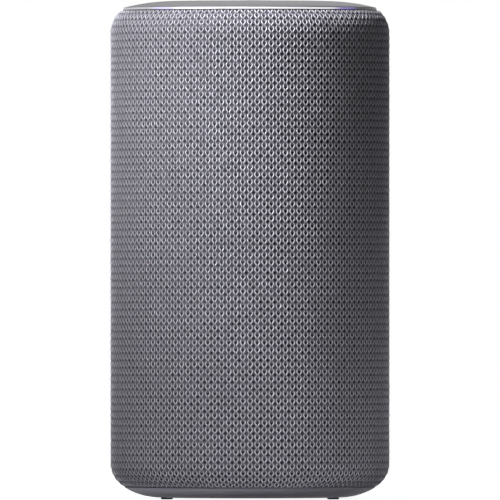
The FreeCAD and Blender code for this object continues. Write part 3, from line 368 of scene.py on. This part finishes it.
def portShape():
    # the round-ended opening for the sockets, inside the bezel's flange
    bezelLow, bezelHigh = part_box("port_bezel")
    middle, lap = (bezelLow.z + bezelHigh.z) / 2, knit["portLap"]
    radius = (bezelHigh.z - bezelLow.z) / 2 - lap
    return {"middle": middle, "radius": radius, "half": bezelHigh.x - lap - radius}


def rowAtLowEdge():
    # the row count at the lower edge, with whole numbers where the rings pinch
    start, end = seamHeights()
    return (start - knit["lowLength"] - knit["pinchHeight"]) / knit["rowPitch"]


port = portShape()


def knitTree(material):
    # strands of yarn that pinch and swell in step, laid on the sleeve's outline
    tree = bpy.data.node_groups.new("knitStrands", "GeometryNodeTree")
    maker = Maker(tree)
    face = tree.interface
    sizes = {
        "Strands": ("NodeSocketInt", 2), "Points": ("NodeSocketInt", 8), "First Column": ("NodeSocketFloat", 0.0),
        "Columns": ("NodeSocketFloat", 123.0), "First Turn": ("NodeSocketFloat", 0.0),
        "Row Pitch": ("NodeSocketFloat", 0.002), "First Row": ("NodeSocketFloat", 0.0),
        "Length": ("NodeSocketFloat", 0.14), "Radius": ("NodeSocketFloat", 0.04),
        "Low Height": ("NodeSocketFloat", 0.0), "Low Radius": ("NodeSocketFloat", 0.008),
        "Low Turn": ("NodeSocketFloat", 1.0), "Top Radius": ("NodeSocketFloat", 0.009),
        "Straight": ("NodeSocketFloat", 0.12), "Half Width": ("NodeSocketFloat", 0.2),
        "Swell": ("NodeSocketFloat", 0.2), "Depth": ("NodeSocketFloat", 0.0005),
        "Depth Phase": ("NodeSocketFloat", 0.0), "Yarn Radius": ("NodeSocketFloat", 0.0003),
        "Looseness": ("NodeSocketFloat", 0.0), "Yarn Sides": ("NodeSocketInt", 4), "Skew": ("NodeSocketFloat", 1.0),
        "Flatness": ("NodeSocketFloat", 0.5),
        "Port Middle": ("NodeSocketFloat", 0.0), "Port Half": ("NodeSocketFloat", 0.0),
        "Port Radius": ("NodeSocketFloat", 0.0),
    }
    for name, (kind, value) in sizes.items():
        face.new_socket(name, in_out="INPUT", socket_type=kind).default_value = value
    face.new_socket("Geometry", in_out="OUTPUT", socket_type="NodeSocketGeometry")
    entry = maker.node("NodeGroupInput")
    size = {name: Value(maker, entry.outputs[name]) for name in sizes}

    strand = maker.node("GeometryNodeMeshLine", {"mode": "OFFSET"}, {
        "Count": size["Points"], "Offset": (0.0, 0.0, 1.0)})
    spread = maker.node("GeometryNodeMeshLine", {"mode": "OFFSET"}, {
        "Count": size["Strands"], "Offset": (1.0, 0.0, 0.0)})
    placed = maker.node("GeometryNodeInstanceOnPoints", None, {
        "Points": spread.outputs[0], "Instance": strand.outputs[0]})
    whole = maker.node("GeometryNodeRealizeInstances", None, {"Geometry": placed.outputs[0]})
    spot = maker.node("ShaderNodeSeparateXYZ", None, {"Vector": maker.node("GeometryNodeInputPosition").outputs[0]})
    index, step = Value(maker, spot.outputs[0]), Value(maker, spot.outputs[2])

    length = step / (size["Points"] - 1.0) * size["Length"]
    row = size["First Row"] + length / size["Row Pitch"]
    half = (index * 0.5).floor()
    side = (index - half * 2.0) * 2.0 - 1.0
    sway = size["Half Width"] - (row * 2 * math.pi).cos() * size["Swell"]
    column = size["First Column"] + half + side * sway
    turn = size["First Turn"] + column / size["Columns"] * (2 * math.pi)

    # yarn lies outermost just above each pinch and sinks slowly from there up to the next
    sink = (1.0 - ((((row - size["Depth Phase"]) % 1.0) ** size["Skew"]) * 2 * math.pi).cos()) * 0.5
    inset = sink * size["Depth"] + size["Yarn Radius"] * size["Flatness"]
    lowLength = size["Low Radius"] * size["Low Turn"]
    lowTurn = (size["Low Turn"] - length / size["Low Radius"]).most(0.0)
    topTurn = ((length - lowLength - size["Straight"]) / size["Top Radius"]).most(0.0)
    climb = (length - lowLength).most(0.0).least(size["Straight"])
    lowReach, topReach = size["Low Radius"] - inset, size["Top Radius"] - inset
    reach = size["Radius"] - inset - lowReach * (1.0 - lowTurn.cos()) - topReach * (1.0 - topTurn.cos())
    height = size["Low Height"] + climb - lowReach * lowTurn.sin() + topReach * topTurn.sin()
    across, back = reach * turn.sin(), reach * turn.cos() * -1.0
    point = maker.node("ShaderNodeCombineXYZ", None, {0: across, 1: back, 2: height})
    # the sink amount is kept on the points for the yarn's material, which darkens its colour there as painted shade
    noted = maker.node("GeometryNodeStoreNamedAttribute", {"data_type": "FLOAT", "domain": "POINT"}, {
        "Geometry": whole.outputs[0], "Name": "sunk"})
    maker.feed(next(socket for socket in noted.inputs if socket.name == "Value" and socket.enabled), sink)
    lean = topTurn - lowTurn
    outward = maker.node("ShaderNodeCombineXYZ", None, {
        0: turn.sin() * lean.cos(), 1: turn.cos() * lean.cos() * -1.0, 2: lean.sin()})
    turned = maker.node("GeometryNodeStoreNamedAttribute", {"data_type": "FLOAT_VECTOR", "domain": "POINT"}, {
        "Geometry": noted.outputs[0], "Name": "outward"})
    maker.feed(next(socket for socket in turned.inputs if socket.name == "Value" and socket.enabled), outward.outputs[0])
    placedOut = maker.node("GeometryNodeSetPosition", None, {
        "Geometry": turned.outputs[0], "Position": point.outputs[0]})
    spot = maker.node("ShaderNodeSeparateXYZ", None, {"Vector": maker.node("GeometryNodeInputPosition").outputs[0]})
    beside = (abs(Value(maker, spot.outputs[0])) - size["Port Half"]).most(0.0)
    above = Value(maker, spot.outputs[2]) - size["Port Middle"]
    inPort = ((beside * beside + above * above).root() < size["Port Radius"]) * (Value(maker, spot.outputs[1]) > 0.0)
    laid = maker.node("GeometryNodeDeleteGeometry", {"domain": "POINT"}, {
        "Geometry": placedOut.outputs[0], "Selection": inPort})
    wobble = maker.node("ShaderNodeTexNoise", {"noise_dimensions": "3D"}, {"Scale": 420.0, "Detail": 1.0})
    centred = maker.node("ShaderNodeVectorMath", {"operation": "SUBTRACT"}, {0: wobble.outputs["Color"], 1: (0.5, 0.5, 0.5)})
    scaled = maker.node("ShaderNodeVectorMath", {"operation": "SCALE"}, {0: centred.outputs[0], "Scale": size["Looseness"] * 4.0})
    loose = maker.node("GeometryNodeSetPosition", None, {"Geometry": laid.outputs[0], "Offset": scaled.outputs[0]})
    curve = maker.node("GeometryNodeMeshToCurve", None, {"Mesh": loose.outputs[0]})
    facing = maker.node("GeometryNodeInputNamedAttribute", {"data_type": "FLOAT_VECTOR"}, {"Name": "outward"})
    lying = maker.node("GeometryNodeSetCurveNormal", {"mode": "FREE"}, {
        "Curve": curve.outputs[0], "Normal": facing.outputs[0]})
    circle = maker.node("GeometryNodeCurvePrimitiveCircle", {"mode": "RADIUS"}, {
        "Resolution": size["Yarn Sides"], "Radius": size["Yarn Radius"]})
    squeeze = maker.node("ShaderNodeCombineXYZ", None, {0: size["Flatness"], 1: 1.0, 2: 1.0})
    profile = maker.node("GeometryNodeTransform", None, {"Geometry": circle.outputs[0], "Scale": squeeze.outputs[0]})
    yarn = maker.node("GeometryNodeCurveToMesh", None, {
        "Curve": lying.outputs[0], "Profile Curve": profile.outputs[0], "Fill Caps": True})
    smooth = maker.node("GeometryNodeSetShadeSmooth", None, {"Geometry": yarn.outputs[0]})
    real = maker.node("GeometryNodeRealizeInstances", None, {"Geometry": smooth.outputs[0]})
    coated = maker.node("GeometryNodeSetMaterial", None, {"Geometry": real.outputs[0], "Material": material})
    maker.node("NodeGroupOutput", None, {"Geometry": coated.outputs[0]})
    return tree


def newPiece(name, mesh):
    piece = bpy.data.objects.new(name, mesh)
    bpy.context.scene.collection.objects.link(piece)
    return piece


def grown(name, tree, values):
    # runs a node tree on an empty mesh and keeps the result as a plain mesh
    holder = newPiece(name + "Holder", bpy.data.meshes.new(name + "Holder"))
    modifier = holder.modifiers.new("grow", "NODES")
    modifier.node_group = tree
    for item in tree.interface.items_tree:
        if item.in_out == "INPUT" and item.name in values:
            modifier[item.identifier] = values[item.name]
    bpy.context.view_layer.update()
    seen = holder.evaluated_get(bpy.context.evaluated_depsgraph_get())
    mesh = bpy.data.meshes.new_from_object(seen)
    holder.modifiers.remove(modifier)
    bpy.data.objects.remove(holder)
    mesh.name = name
    return newPiece(name, mesh)


def makeKnit():
    start, end = seamHeights()
    yarn = fabricYarn()
    tree = knitTree(yarn)
    length = sleeveLength() + knit["overEdge"]
    rows = length / knit["rowPitch"]
    panels = []
    share = math.ceil(knit["columns"] / knit["panels"])
    for panel in range(knit["panels"]):
        first = panel * share
        count = min(share, knit["columns"] - first)
        piece = grown("knitPanel%d" % (panel + 1), tree, {
            "Strands": count * 2, "Points": int(rows * knit["pointsPerRow"]) + 1, "First Column": float(first),
            "Columns": float(knit["columns"]), "First Turn": knit["firstTurn"], "Row Pitch": knit["rowPitch"],
            "First Row": rowAtLowEdge(), "Length": length, "Radius": knit["radius"], "Low Height": start,
            "Low Radius": knit["lowRadius"], "Low Turn": knit["lowTurn"], "Top Radius": knit["topRadius"],
            "Straight": end - start, "Half Width": knit["halfWidth"], "Swell": knit["swell"],
            "Depth": knit["depth"], "Depth Phase": knit["depthPhase"], "Yarn Radius": knit["yarnRadius"],
            "Looseness": knit["looseness"], "Yarn Sides": knit["yarnSides"], "Skew": knit["skew"],
            "Flatness": knit["flatness"],
            "Port Middle": port["middle"], "Port Half": port["half"],
            "Port Radius": port["radius"] + knit["portMargin"] + knit["yarnRadius"],
        })
        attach(piece, "housing")
        panels.append(piece)
    print("knit:", sum(len(piece.data.polygons) for piece in panels), "faces in", len(panels), "panels")
    return panels


def cutPort(piece):
    # opens the tube at the back with a round-ended prism
    shape = bmesh.new()
    radius, steps = port["radius"] + knit["portMargin"], 24
    outline = []
    for side, first in ((1, -90), (-1, 90)):
        for i in range(steps + 1):
            turn = math.radians(first + 180 * i / steps)
            outline.append((side * port["half"] + radius * math.cos(turn), port["middle"] + radius * math.sin(turn)))
    near = [shape.verts.new((x, 0.02, z)) for x, z in outline]
    far = [shape.verts.new((x, 0.06, z)) for x, z in outline]
    shape.faces.new(near)
    shape.faces.new(list(reversed(far)))
    for i in range(len(outline)):
        j = (i + 1) % len(outline)
        shape.faces.new((near[i], far[i], far[j], near[j]))
    bmesh.ops.recalc_face_normals(shape, faces=shape.faces)
    mesh = bpy.data.meshes.new("portCutter")
    shape.to_mesh(mesh)
    shape.free()
    cutter = newPiece("portCutter", mesh)
    modifier = piece.modifiers.new("port", "BOOLEAN")
    modifier.operation, modifier.object, modifier.solver = "DIFFERENCE", cutter, "EXACT"
    bpy.context.view_layer.update()
    cut = bpy.data.meshes.new_from_object(piece.evaluated_get(bpy.context.evaluated_depsgraph_get()))
    piece.modifiers.remove(modifier)
    piece.data = cut
    bpy.data.objects.remove(cutter)
    print("backing:", len(cut.polygons), "faces")


def makeBacking():
    # one closed thin tube behind the yarn, with its outline finished at both edges
    columns, length = 246, sleeveLength()
    heights = []
    steps = [knit["lowLength"] * i / 8 for i in range(8)]
    straightEnd = length - knit["topLength"]
    steps += [knit["lowLength"] + (straightEnd - knit["lowLength"]) * i / 60 for i in range(60)]
    steps += [straightEnd + knit["topLength"] * i / 8 for i in range(9)]
    outer, inner = knit["backingInset"], knit["backingInset"] + knit["backingThickness"]
    loop = [(*sideAt(s, outer), s) for s in steps] + [(*sideAt(s, inner), s) for s in reversed(steps)]
    mesh = bpy.data.meshes.new("knitBacking")
    shape = bmesh.new()
    chart = shape.loops.layers.uv.new("knitMap")
    rings = []
    for column in range(columns):
        turn = 2 * math.pi * column / columns
        rings.append([shape.verts.new((r * math.sin(turn), -r * math.cos(turn), z)) for r, z, s in loop])
    firstRow = rowAtLowEdge()
    for column in range(columns):
        here, there = rings[column], rings[(column + 1) % columns]
        for i in range(len(loop)):
            j = (i + 1) % len(loop)
            face = shape.faces.new((here[i], there[i], there[j], here[j]))
            face.smooth = True
            for corner, turnStep, spot in zip(face.loops, (column, column + 1, column + 1, column), (i, i, j, j)):
                turn = 2 * math.pi * turnStep / columns
                u = (turn - knit["firstTurn"]) / (2 * math.pi) * knit["columns"]
                corner[chart].uv = (u, firstRow + loop[spot][2] / knit["rowPitch"])
    bmesh.ops.recalc_face_normals(shape, faces=shape.faces)
    shape.to_mesh(mesh)
    shape.free()
    piece = newPiece("knitBacking", mesh)
    cutPort(piece)
    piece.data.materials.append(backingCloth())
    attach(piece, "housing")
    return piece


panels = makeKnit()
backing = makeBacking()
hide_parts("fabric_sleeve")
print("sleeve made")


glow = {
    "strength": 0.75, "white": (1.0, 0.97, 1.0), "lavender": (0.36, 0.26, 0.62), "violet": (0.24, 0.17, 0.64),
    "middle": math.radians(3.5), "whiteTo": math.radians(35), "lavenderTo": math.radians(44), "violetTo": math.radians(51), "unlit": (0.40, 0.40, 0.43),
    "topEdge": 0.12 * mm,
}


def litDiffuser():
    # milky plastic; the front arc is lit and turns from white to violet at its ends
    material, maker, shader, output, place = newFinish("litDiffuser")
    xyz = maker.node("ShaderNodeSeparateXYZ", None, {"Vector": place})
    x, y = Value(maker, xyz.outputs[0]), Value(maker, xyz.outputs[1])
    turn = abs(x.angleTo(y * -1.0) - glow["middle"])
    toLavender = turn.smooth(glow["whiteTo"], glow["lavenderTo"])
    toViolet = turn.smooth(glow["lavenderTo"] - 0.08, glow["violetTo"])
    ringLow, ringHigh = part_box("light_ring")
    edge = Value(maker, xyz.outputs[2]) > ringHigh.z - glow["topEdge"]
    fade = turn.smooth(glow["violetTo"] - 0.05, glow["violetTo"] + 0.10).most(edge)
    lit = maker.mixColour(toViolet, maker.mixColour(toLavender, glow["white"], glow["lavender"]), glow["violet"])
    maker.feed(shader.inputs["Emission Color"], maker.mixColour(fade, lit, (0.0, 0.0, 0.0)))
    shader.inputs["Emission Strength"].default_value = glow["strength"]
    haze = noiseOn(maker, place, 700.0, 2.0)
    maker.feed(shader.inputs["Base Color"], maker.mixColour(haze, shade(glow["unlit"], 0.95), shade(glow["unlit"], 1.05)))
    maker.feed(shader.inputs["Roughness"], 0.38 + haze * 0.1)
    return material


def dress(name, material):
    part = nodes[name]
    if not part.material_slots:
        part.data.materials.append(material)
    for place in part.material_slots:
        place.material = material


def dressAll():
    capPlastic = mouldedPlastic("capPlastic", (0.125, 0.125, 0.13), 0.6, 5200.0, 0.010, 0.05, 0.06)
    keyPlastic = mouldedPlastic("keyPlastic", (0.105, 0.105, 0.11), 0.55, 6200.0, 0.008, 0.05, 0.1)
    basePlastic = mouldedPlastic("basePlastic", (0.26, 0.253, 0.297), 0.6, 5200.0, 0.012, 0.05, 0.12)
    darkPlastic = mouldedPlastic("darkPlastic", (0.045, 0.045, 0.05), 0.55)
    blackPlastic = mouldedPlastic("blackPlastic", (0.02, 0.02, 0.022), 0.5)
    nylon = mouldedPlastic("whiteNylon", (0.62, 0.60, 0.55), 0.5)
    chip = mouldedPlastic("chipPackage", (0.025, 0.025, 0.028), 0.62, 9000.0, 0.006)
    steel = turnedMetal("zincSteel", (0.62, 0.63, 0.66))
    screw = turnedMetal("blackSteel", (0.16, 0.16, 0.17), 0.38)
    can = turnedMetal("tinnedCan", (0.74, 0.75, 0.76), 0.3, 2500.0)
    nickel = turnedMetal("nickel", (0.72, 0.69, 0.62), 0.22)
    anodised = turnedMetal("anodised", (0.70, 0.71, 0.74), 0.4, 5000.0)
    copper = turnedMetal("copperWinding", (0.80, 0.36, 0.20), 0.35, 31000.0)
    rubber = softRubber("softRubber", (0.022, 0.022, 0.024))
    plateRubber = softRubber("plateRubber", (0.05, 0.05, 0.055), 0.7)
    pulp = pressedPulp("pressedPulp", (0.035, 0.035, 0.038))
    ferrite = mouldedPlastic("ferrite", (0.06, 0.06, 0.065), 0.5, 3000.0, 0.03, 0.2)
    coat = mouldedPlastic("blackCoat", (0.03, 0.03, 0.034), 0.35, 1800.0, 0.02)
    flatBoard, standingBoard = solderMask("flatBoard", 2), solderMask("standingBoard", 1)
    film = printedFilm("whiteFilm", (0.72, 0.72, 0.70), 1000.0)
    greyFilm = printedFilm("greyFilm", (0.42, 0.42, 0.41), 790.0)
    lamp = mouldedPlastic("ledPackage", (0.75, 0.74, 0.66), 0.3)
    looks = {
        capPlastic: ["top_cap"],
        keyPlastic: ["mute_button", "volume_up_button", "action_button", "volume_down_button"],
        basePlastic: ["base_cover"],
        darkPlastic: ["grille_tube", "sound_deflector", "chamber_body", "chamber_lid", "top_frame", "trim_ring",
                      "tweeter_faceplate", "port_bezel"],
        blackPlastic: ["switch_bodies", "audio_jack"],
        nylon: ["mute_plunger", "volume_up_plunger", "action_plunger", "volume_down_plunger"],
        chip: ["main_board_components"],
        steel: ["board_screws", "woofer_top_plate", "woofer_yoke", "tweeter_cup"],
        screw: ["base_screws", "pillar_screws", "woofer_screws", "lid_screws", "frame_screws", "tweeter_screws"],
        can: ["shield_can"],
        nickel: ["tweeter_magnet", "microphones"],
        anodised: ["heat_spreader", "tweeter_dome"],
        copper: ["woofer_voice_coil"],
        rubber: ["foot_strips", "woofer_surround", "woofer_gasket", "wire_grommet", "tweeter_surround",
                 "microphone_gaskets"],
        plateRubber: ["bottom_plate"],
        pulp: ["woofer_cone", "woofer_dust_cap"],
        ferrite: ["woofer_magnet"],
        coat: ["woofer_frame"],
        flatBoard: ["control_board"],
        standingBoard: ["main_board", "port_board", "antennas"],
        film: ["ribbon_cable"],
        greyFilm: ["port_cable"],
        lamp: ["status_leds"],
        litDiffuser(): ["light_ring"],
        socketPlastic(): ["dc_jack"],
        wirePair(): ["speaker_wires"],
    }
    for material, names in looks.items():
        for name in names:
            dress(name, material)
    bare = set(nodes) - {name for names in looks.values() for name in names}
    bare -= {"fabric_sleeve", "woofer_spider"}
    print("dressed", len(nodes), "nodes, bare:", sorted(bare))


def socketPlastic():
    # black nylon with a plated pin on the socket's axis
    material, maker, shader, output, place = newFinish("socketPlastic")
    socketLow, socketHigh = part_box("dc_jack")
    xyz = maker.node("ShaderNodeSeparateXYZ", None, {"Vector": place})
    x = Value(maker, xyz.outputs[0]) - (socketLow.x + socketHigh.x) / 2
    z = Value(maker, xyz.outputs[2]) - (socketLow.z + socketHigh.z) / 2
    pin = (x * x + z * z).root() < 1.3 * mm
    fine = noiseOn(maker, place, 5000.0, 2.0)
    maker.feed(shader.inputs["Base Color"], maker.mixColour(pin, (0.02, 0.02, 0.022), (0.78, 0.74, 0.62)))
    maker.feed(shader.inputs["Metallic"], pin)
    maker.feed(shader.inputs["Roughness"], 0.5 - pin * 0.25 + fine * 0.05)
    return material


def wirePair():
    # red insulation on the right and black on the left
    material, maker, shader, output, place = newFinish("wireInsulation")
    xyz = maker.node("ShaderNodeSeparateXYZ", None, {"Vector": place})
    red = Value(maker, xyz.outputs[0]) > 0.0
    fine = noiseOn(maker, place, 1800.0, 2.0)
    maker.feed(shader.inputs["Base Color"], maker.mixColour(red, (0.018, 0.018, 0.02), (0.42, 0.02, 0.015)))
    maker.feed(shader.inputs["Roughness"], 0.4 + fine * 0.12)
    return material


dressAll()


spider = {
    "waves": 3, "wave": 0.6 * mm, "thickness": 0.4 * mm, "landing": 1.6 * mm, "hole": 8.55 * mm,
    "drop": 1.0 * mm, "slit": 0.1 * mm, "steps": 96, "cloth": (0.46, 0.30, 0.11),
}


def turnedPiece(name, outline, material, body):
    # a closed outline of radii and heights, turned about the axis
    mesh = bpy.data.meshes.new(name)
    shape = bmesh.new()
    rings = []
    for i in range(spider["steps"]):
        turn = 2 * math.pi * i / spider["steps"]
        rings.append([shape.verts.new((r * math.cos(turn), r * math.sin(turn), z)) for r, z in outline])
    for here, there in zip(rings, rings[1:] + rings[:1]):
        for k in range(len(outline)):
            j = (k + 1) % len(outline)
            shape.faces.new((here[k], there[k], there[j], here[j]))
    bmesh.ops.recalc_face_normals(shape, faces=shape.faces)
    shape.to_mesh(mesh)
    shape.free()
    mesh.materials.append(material)
    piece = newPiece(name, mesh)
    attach(piece, body)
    return piece


def makeSpider():
    # the waved cloth ring, slit just outside the coil so that its inner edge moves with the coil
    spiderLow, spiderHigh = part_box("woofer_spider")
    coilLow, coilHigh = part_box("woofer_voice_coil")
    cloth = pressedPulp("resinCloth", spider["cloth"])
    start, slit = spiderHigh.x - spider["landing"], coilHigh.x

    def height(radius):
        share = (start - radius) / (start - spider["hole"])
        return spiderHigh.z - spider["drop"] + spider["wave"] * math.cos(2 * math.pi * spider["waves"] * share)

    def closed(top):
        return top + [(r, z - spider["thickness"]) for r, z in reversed(top)]

    inner = slit + spider["slit"]
    radii = [start - (start - inner) * i / (spider["waves"] * 8) for i in range(spider["waves"] * 8 + 1)]
    roll = turnedPiece("spiderRoll", closed([(spiderHigh.x, spiderHigh.z)] + [(r, height(r)) for r in radii]),
                       cloth, "housing")
    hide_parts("woofer_spider")
    turnedPiece("spiderCollar", closed([(slit, height(slit)), (spider["hole"], height(spider["hole"]))]),
                cloth, "woofer_diaphragm")
    print("spider made")


makeSpider()


marks = {"lift": 0.03 * mm, "sink": 0.06 * mm, "dish": 34.0 * mm, "drop": 0.35 * mm, "stroke": 0.55 * mm}


def markBar(shape, start, end, width, steps=8):
    # a straight stroke in the key's own plane, as a row of quads
    start, end = Vector(start), Vector(end)
    along = (end - start).normalized()
    across = Vector((-along.y, along.x)) * width / 2
    spots = []
    for i in range(steps + 1):
        middle = start.lerp(end, i / steps)
        spots.append((middle - across, middle + across))
    addStroke(shape, spots, False)


def markArc(shape, centre, radius, first, last, width, steps=40):
    spots = []
    whole = abs(last - first - 2 * math.pi) < 1e-6
    for i in range(steps if whole else steps + 1):
        turn = first + (last - first) * i / steps
        out = Vector((math.cos(turn), math.sin(turn)))
        spots.append((Vector(centre) + out * (radius + width / 2), Vector(centre) + out * (radius - width / 2)))
    addStroke(shape, spots, whole)


def addStroke(shape, spots, whole):
    def dishHeight(spot):
        return marks["dish"] - marks["drop"] - math.sqrt(marks["dish"] ** 2 - spot.length_squared)

    rows = []
    for left, right in spots:
        row = []
        for spot, offset in ((left, marks["lift"]), (right, marks["lift"]), (right, -marks["sink"]), (left, -marks["sink"])):
            row.append(shape.verts.new((spot.x, spot.y, dishHeight(spot) + offset)))
        rows.append(row)
    count = len(rows) if whole else len(rows) - 1
    for i in range(count):
        here, there = rows[i], rows[(i + 1) % len(rows)]
        for k in range(4):
            shape.faces.new((here[k], there[k], there[(k + 1) % 4], here[(k + 1) % 4]))
    if not whole:
        shape.faces.new(rows[0])
        shape.faces.new(list(reversed(rows[-1])))


def plusMark(shape):
    reach, stroke = 2.0 * mm, marks["stroke"]
    markBar(shape, (-reach, 0), (reach, 0), stroke)
    markBar(shape, (0, -reach), (0, -stroke / 2), stroke, 4)
    markBar(shape, (0, stroke / 2), (0, reach), stroke, 4)


def minusMark(shape):
    markBar(shape, (-2.0 * mm, 0), (2.0 * mm, 0), marks["stroke"])


def dotMark(shape):
    markArc(shape, (0, 0), 0.45 * mm, 0, 2 * math.pi, 0.85 * mm, 32)


def muteMark(shape):
    markArc(shape, (0, 0), 2.1 * mm, 0, 2 * math.pi, marks["stroke"] * 0.9, 48)
    slant = 1.75 * mm / math.sqrt(2)
    markBar(shape, (-slant, slant), (slant, -slant), marks["stroke"] * 0.9)


def makeMarks():
    ink = mouldedPlastic("markInk", (0.72, 0.72, 0.74), 0.5, 6000.0, 0.004)
    for key, draw in (("mute", muteMark), ("volume_up", plusMark), ("action", dotMark), ("volume_down", minusMark)):
        keyLow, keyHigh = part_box(key + "_button")
        mesh = bpy.data.meshes.new(key + "Mark")
        shape = bmesh.new()
        draw(shape)
        bmesh.ops.recalc_face_normals(shape, faces=shape.faces)
        centre = (keyLow + keyHigh) / 2
        bmesh.ops.translate(shape, verts=shape.verts, vec=(centre.x, centre.y, keyHigh.z))
        shape.to_mesh(mesh)
        shape.free()
        mesh.materials.append(ink)
        piece = newPiece(key + "Mark", mesh)
        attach(piece, key + "_key")
    print("marks made")


makeMarks()


studio = {
    "floorReach": 3.0, "floorColour": (0.82, 0.82, 0.82), "nearLift": 0.9, "farLift": 1.0, "farFrom": 0.4,
    "keyPower": 0.285, "keySpot": (-0.149, -0.153, 0.296), "keySize": 0.17, "keyAim": (0.040, -0.0655, 0.110),
    "keySpread": math.radians(56),
    "fillPower": 0.02, "fillSpot": (0.7, -1.0, 0.5), "fillSize": 1.0,
    "backPower": 0.8, "backSpot": (0.12, 0.55, 0.36), "backSize": 0.4, "worldLevel": 0.02,
    "cameraDistance": 6.0, "frameHeight": 148.7 * mm, "sensor": 36.0,
}


def seenDirectly(maker):
    path = maker.node("ShaderNodeLightPath")
    direct = [Value(maker, path.outputs[name]) for name in ("Is Camera Ray", "Is Glossy Ray", "Is Transmission Ray")]
    return direct[0].most(direct[1]).most(direct[2])


def makeFloor():
    mesh = bpy.data.meshes.new("floor")
    shape = bmesh.new()
    reach = studio["floorReach"]
    bmesh.ops.create_circle(shape, cap_ends=True, segments=96, radius=reach)
    bmesh.ops.translate(shape, verts=shape.verts, vec=(0, 0, low.z))
    shape.to_mesh(mesh)
    shape.free()
    material = bpy.data.materials.new("floorPaper")
    material.use_nodes = True
    material.node_tree.nodes.clear()
    maker = Maker(material.node_tree)
    paper = maker.node("ShaderNodeBsdfDiffuse", None, {"Color": (*studio["floorColour"], 1.0)})
    place = maker.node("ShaderNodeTexCoord").outputs["Object"]
    away = maker.number("ShaderNodeVectorMath", {"operation": "LENGTH"}, {0: place}, 1)
    level = studio["nearLift"] + away.smooth(0.05, studio["farFrom"]) * (studio["farLift"] - studio["nearLift"])
    lift = maker.node("ShaderNodeEmission", None, {
        "Color": (1, 1, 1, 1), "Strength": seenDirectly(maker) * level})
    both = maker.node("ShaderNodeAddShader", None, {0: paper.outputs[0], 1: lift.outputs[0]})
    clear = maker.node("ShaderNodeBsdfTransparent")
    under = maker.node("ShaderNodeNewGeometry").outputs["Backfacing"]
    shown = maker.node("ShaderNodeMixShader", None, {0: under, 1: both.outputs[0], 2: clear.outputs[0]})
    maker.node("ShaderNodeOutputMaterial", None, {"Surface": shown.outputs[0]})
    mesh.materials.append(material)
    newPiece("floor", mesh)


def makeWorld():
    world = bpy.data.worlds.new("studio")
    world.use_nodes = True
    world.node_tree.nodes.clear()
    maker = Maker(world.node_tree)
    direct = seenDirectly(maker)
    level = direct + (1.0 - direct) * studio["worldLevel"]
    sky = maker.node("ShaderNodeBackground", None, {"Color": (1, 1, 1, 1), "Strength": level})
    maker.node("ShaderNodeOutputWorld", None, {"Surface": sky.outputs[0]})
    bpy.context.scene.world = world


def addLamp(name, spot, size, power, target, spread=math.pi):
    data = bpy.data.lights.new(name, "AREA")
    data.shape, data.size, data.energy, data.spread = "DISK", size, power, spread
    lamp = newPiece(name, data)
    lamp.location = spot
    lamp.rotation_mode = "QUATERNION"
    lamp.rotation_quaternion = (Vector(target) - Vector(spot)).to_track_quat("-Z", "Y")
    lamp.visible_camera = False


def makeLamps():
    middle = (0, 0, (low.z + high.z) / 2)
    addLamp("keyLamp", studio["keySpot"], studio["keySize"], studio["keyPower"], studio["keyAim"],
            studio["keySpread"])
    addLamp("fillLamp", studio["fillSpot"], studio["fillSize"], studio["fillPower"], middle)
    addLamp("backLamp", studio["backSpot"], studio["backSize"], studio["backPower"], middle)


def makeCamera():
    data = bpy.data.cameras.new("camera")
    data.sensor_width = studio["sensor"]
    data.lens = studio["sensor"] * studio["cameraDistance"] / studio["frameHeight"]
    data.clip_end = 100.0
    camera = newPiece("camera", data)
    camera.location = (0, -studio["cameraDistance"], (low.z + high.z) / 2)
    camera.rotation_euler = (math.pi / 2, 0, 0)
    bpy.context.scene.camera = camera


makeFloor()
makeWorld()
makeLamps()
makeCamera()
bpy.context.scene.view_settings.view_transform = "Standard"
print("studio made")
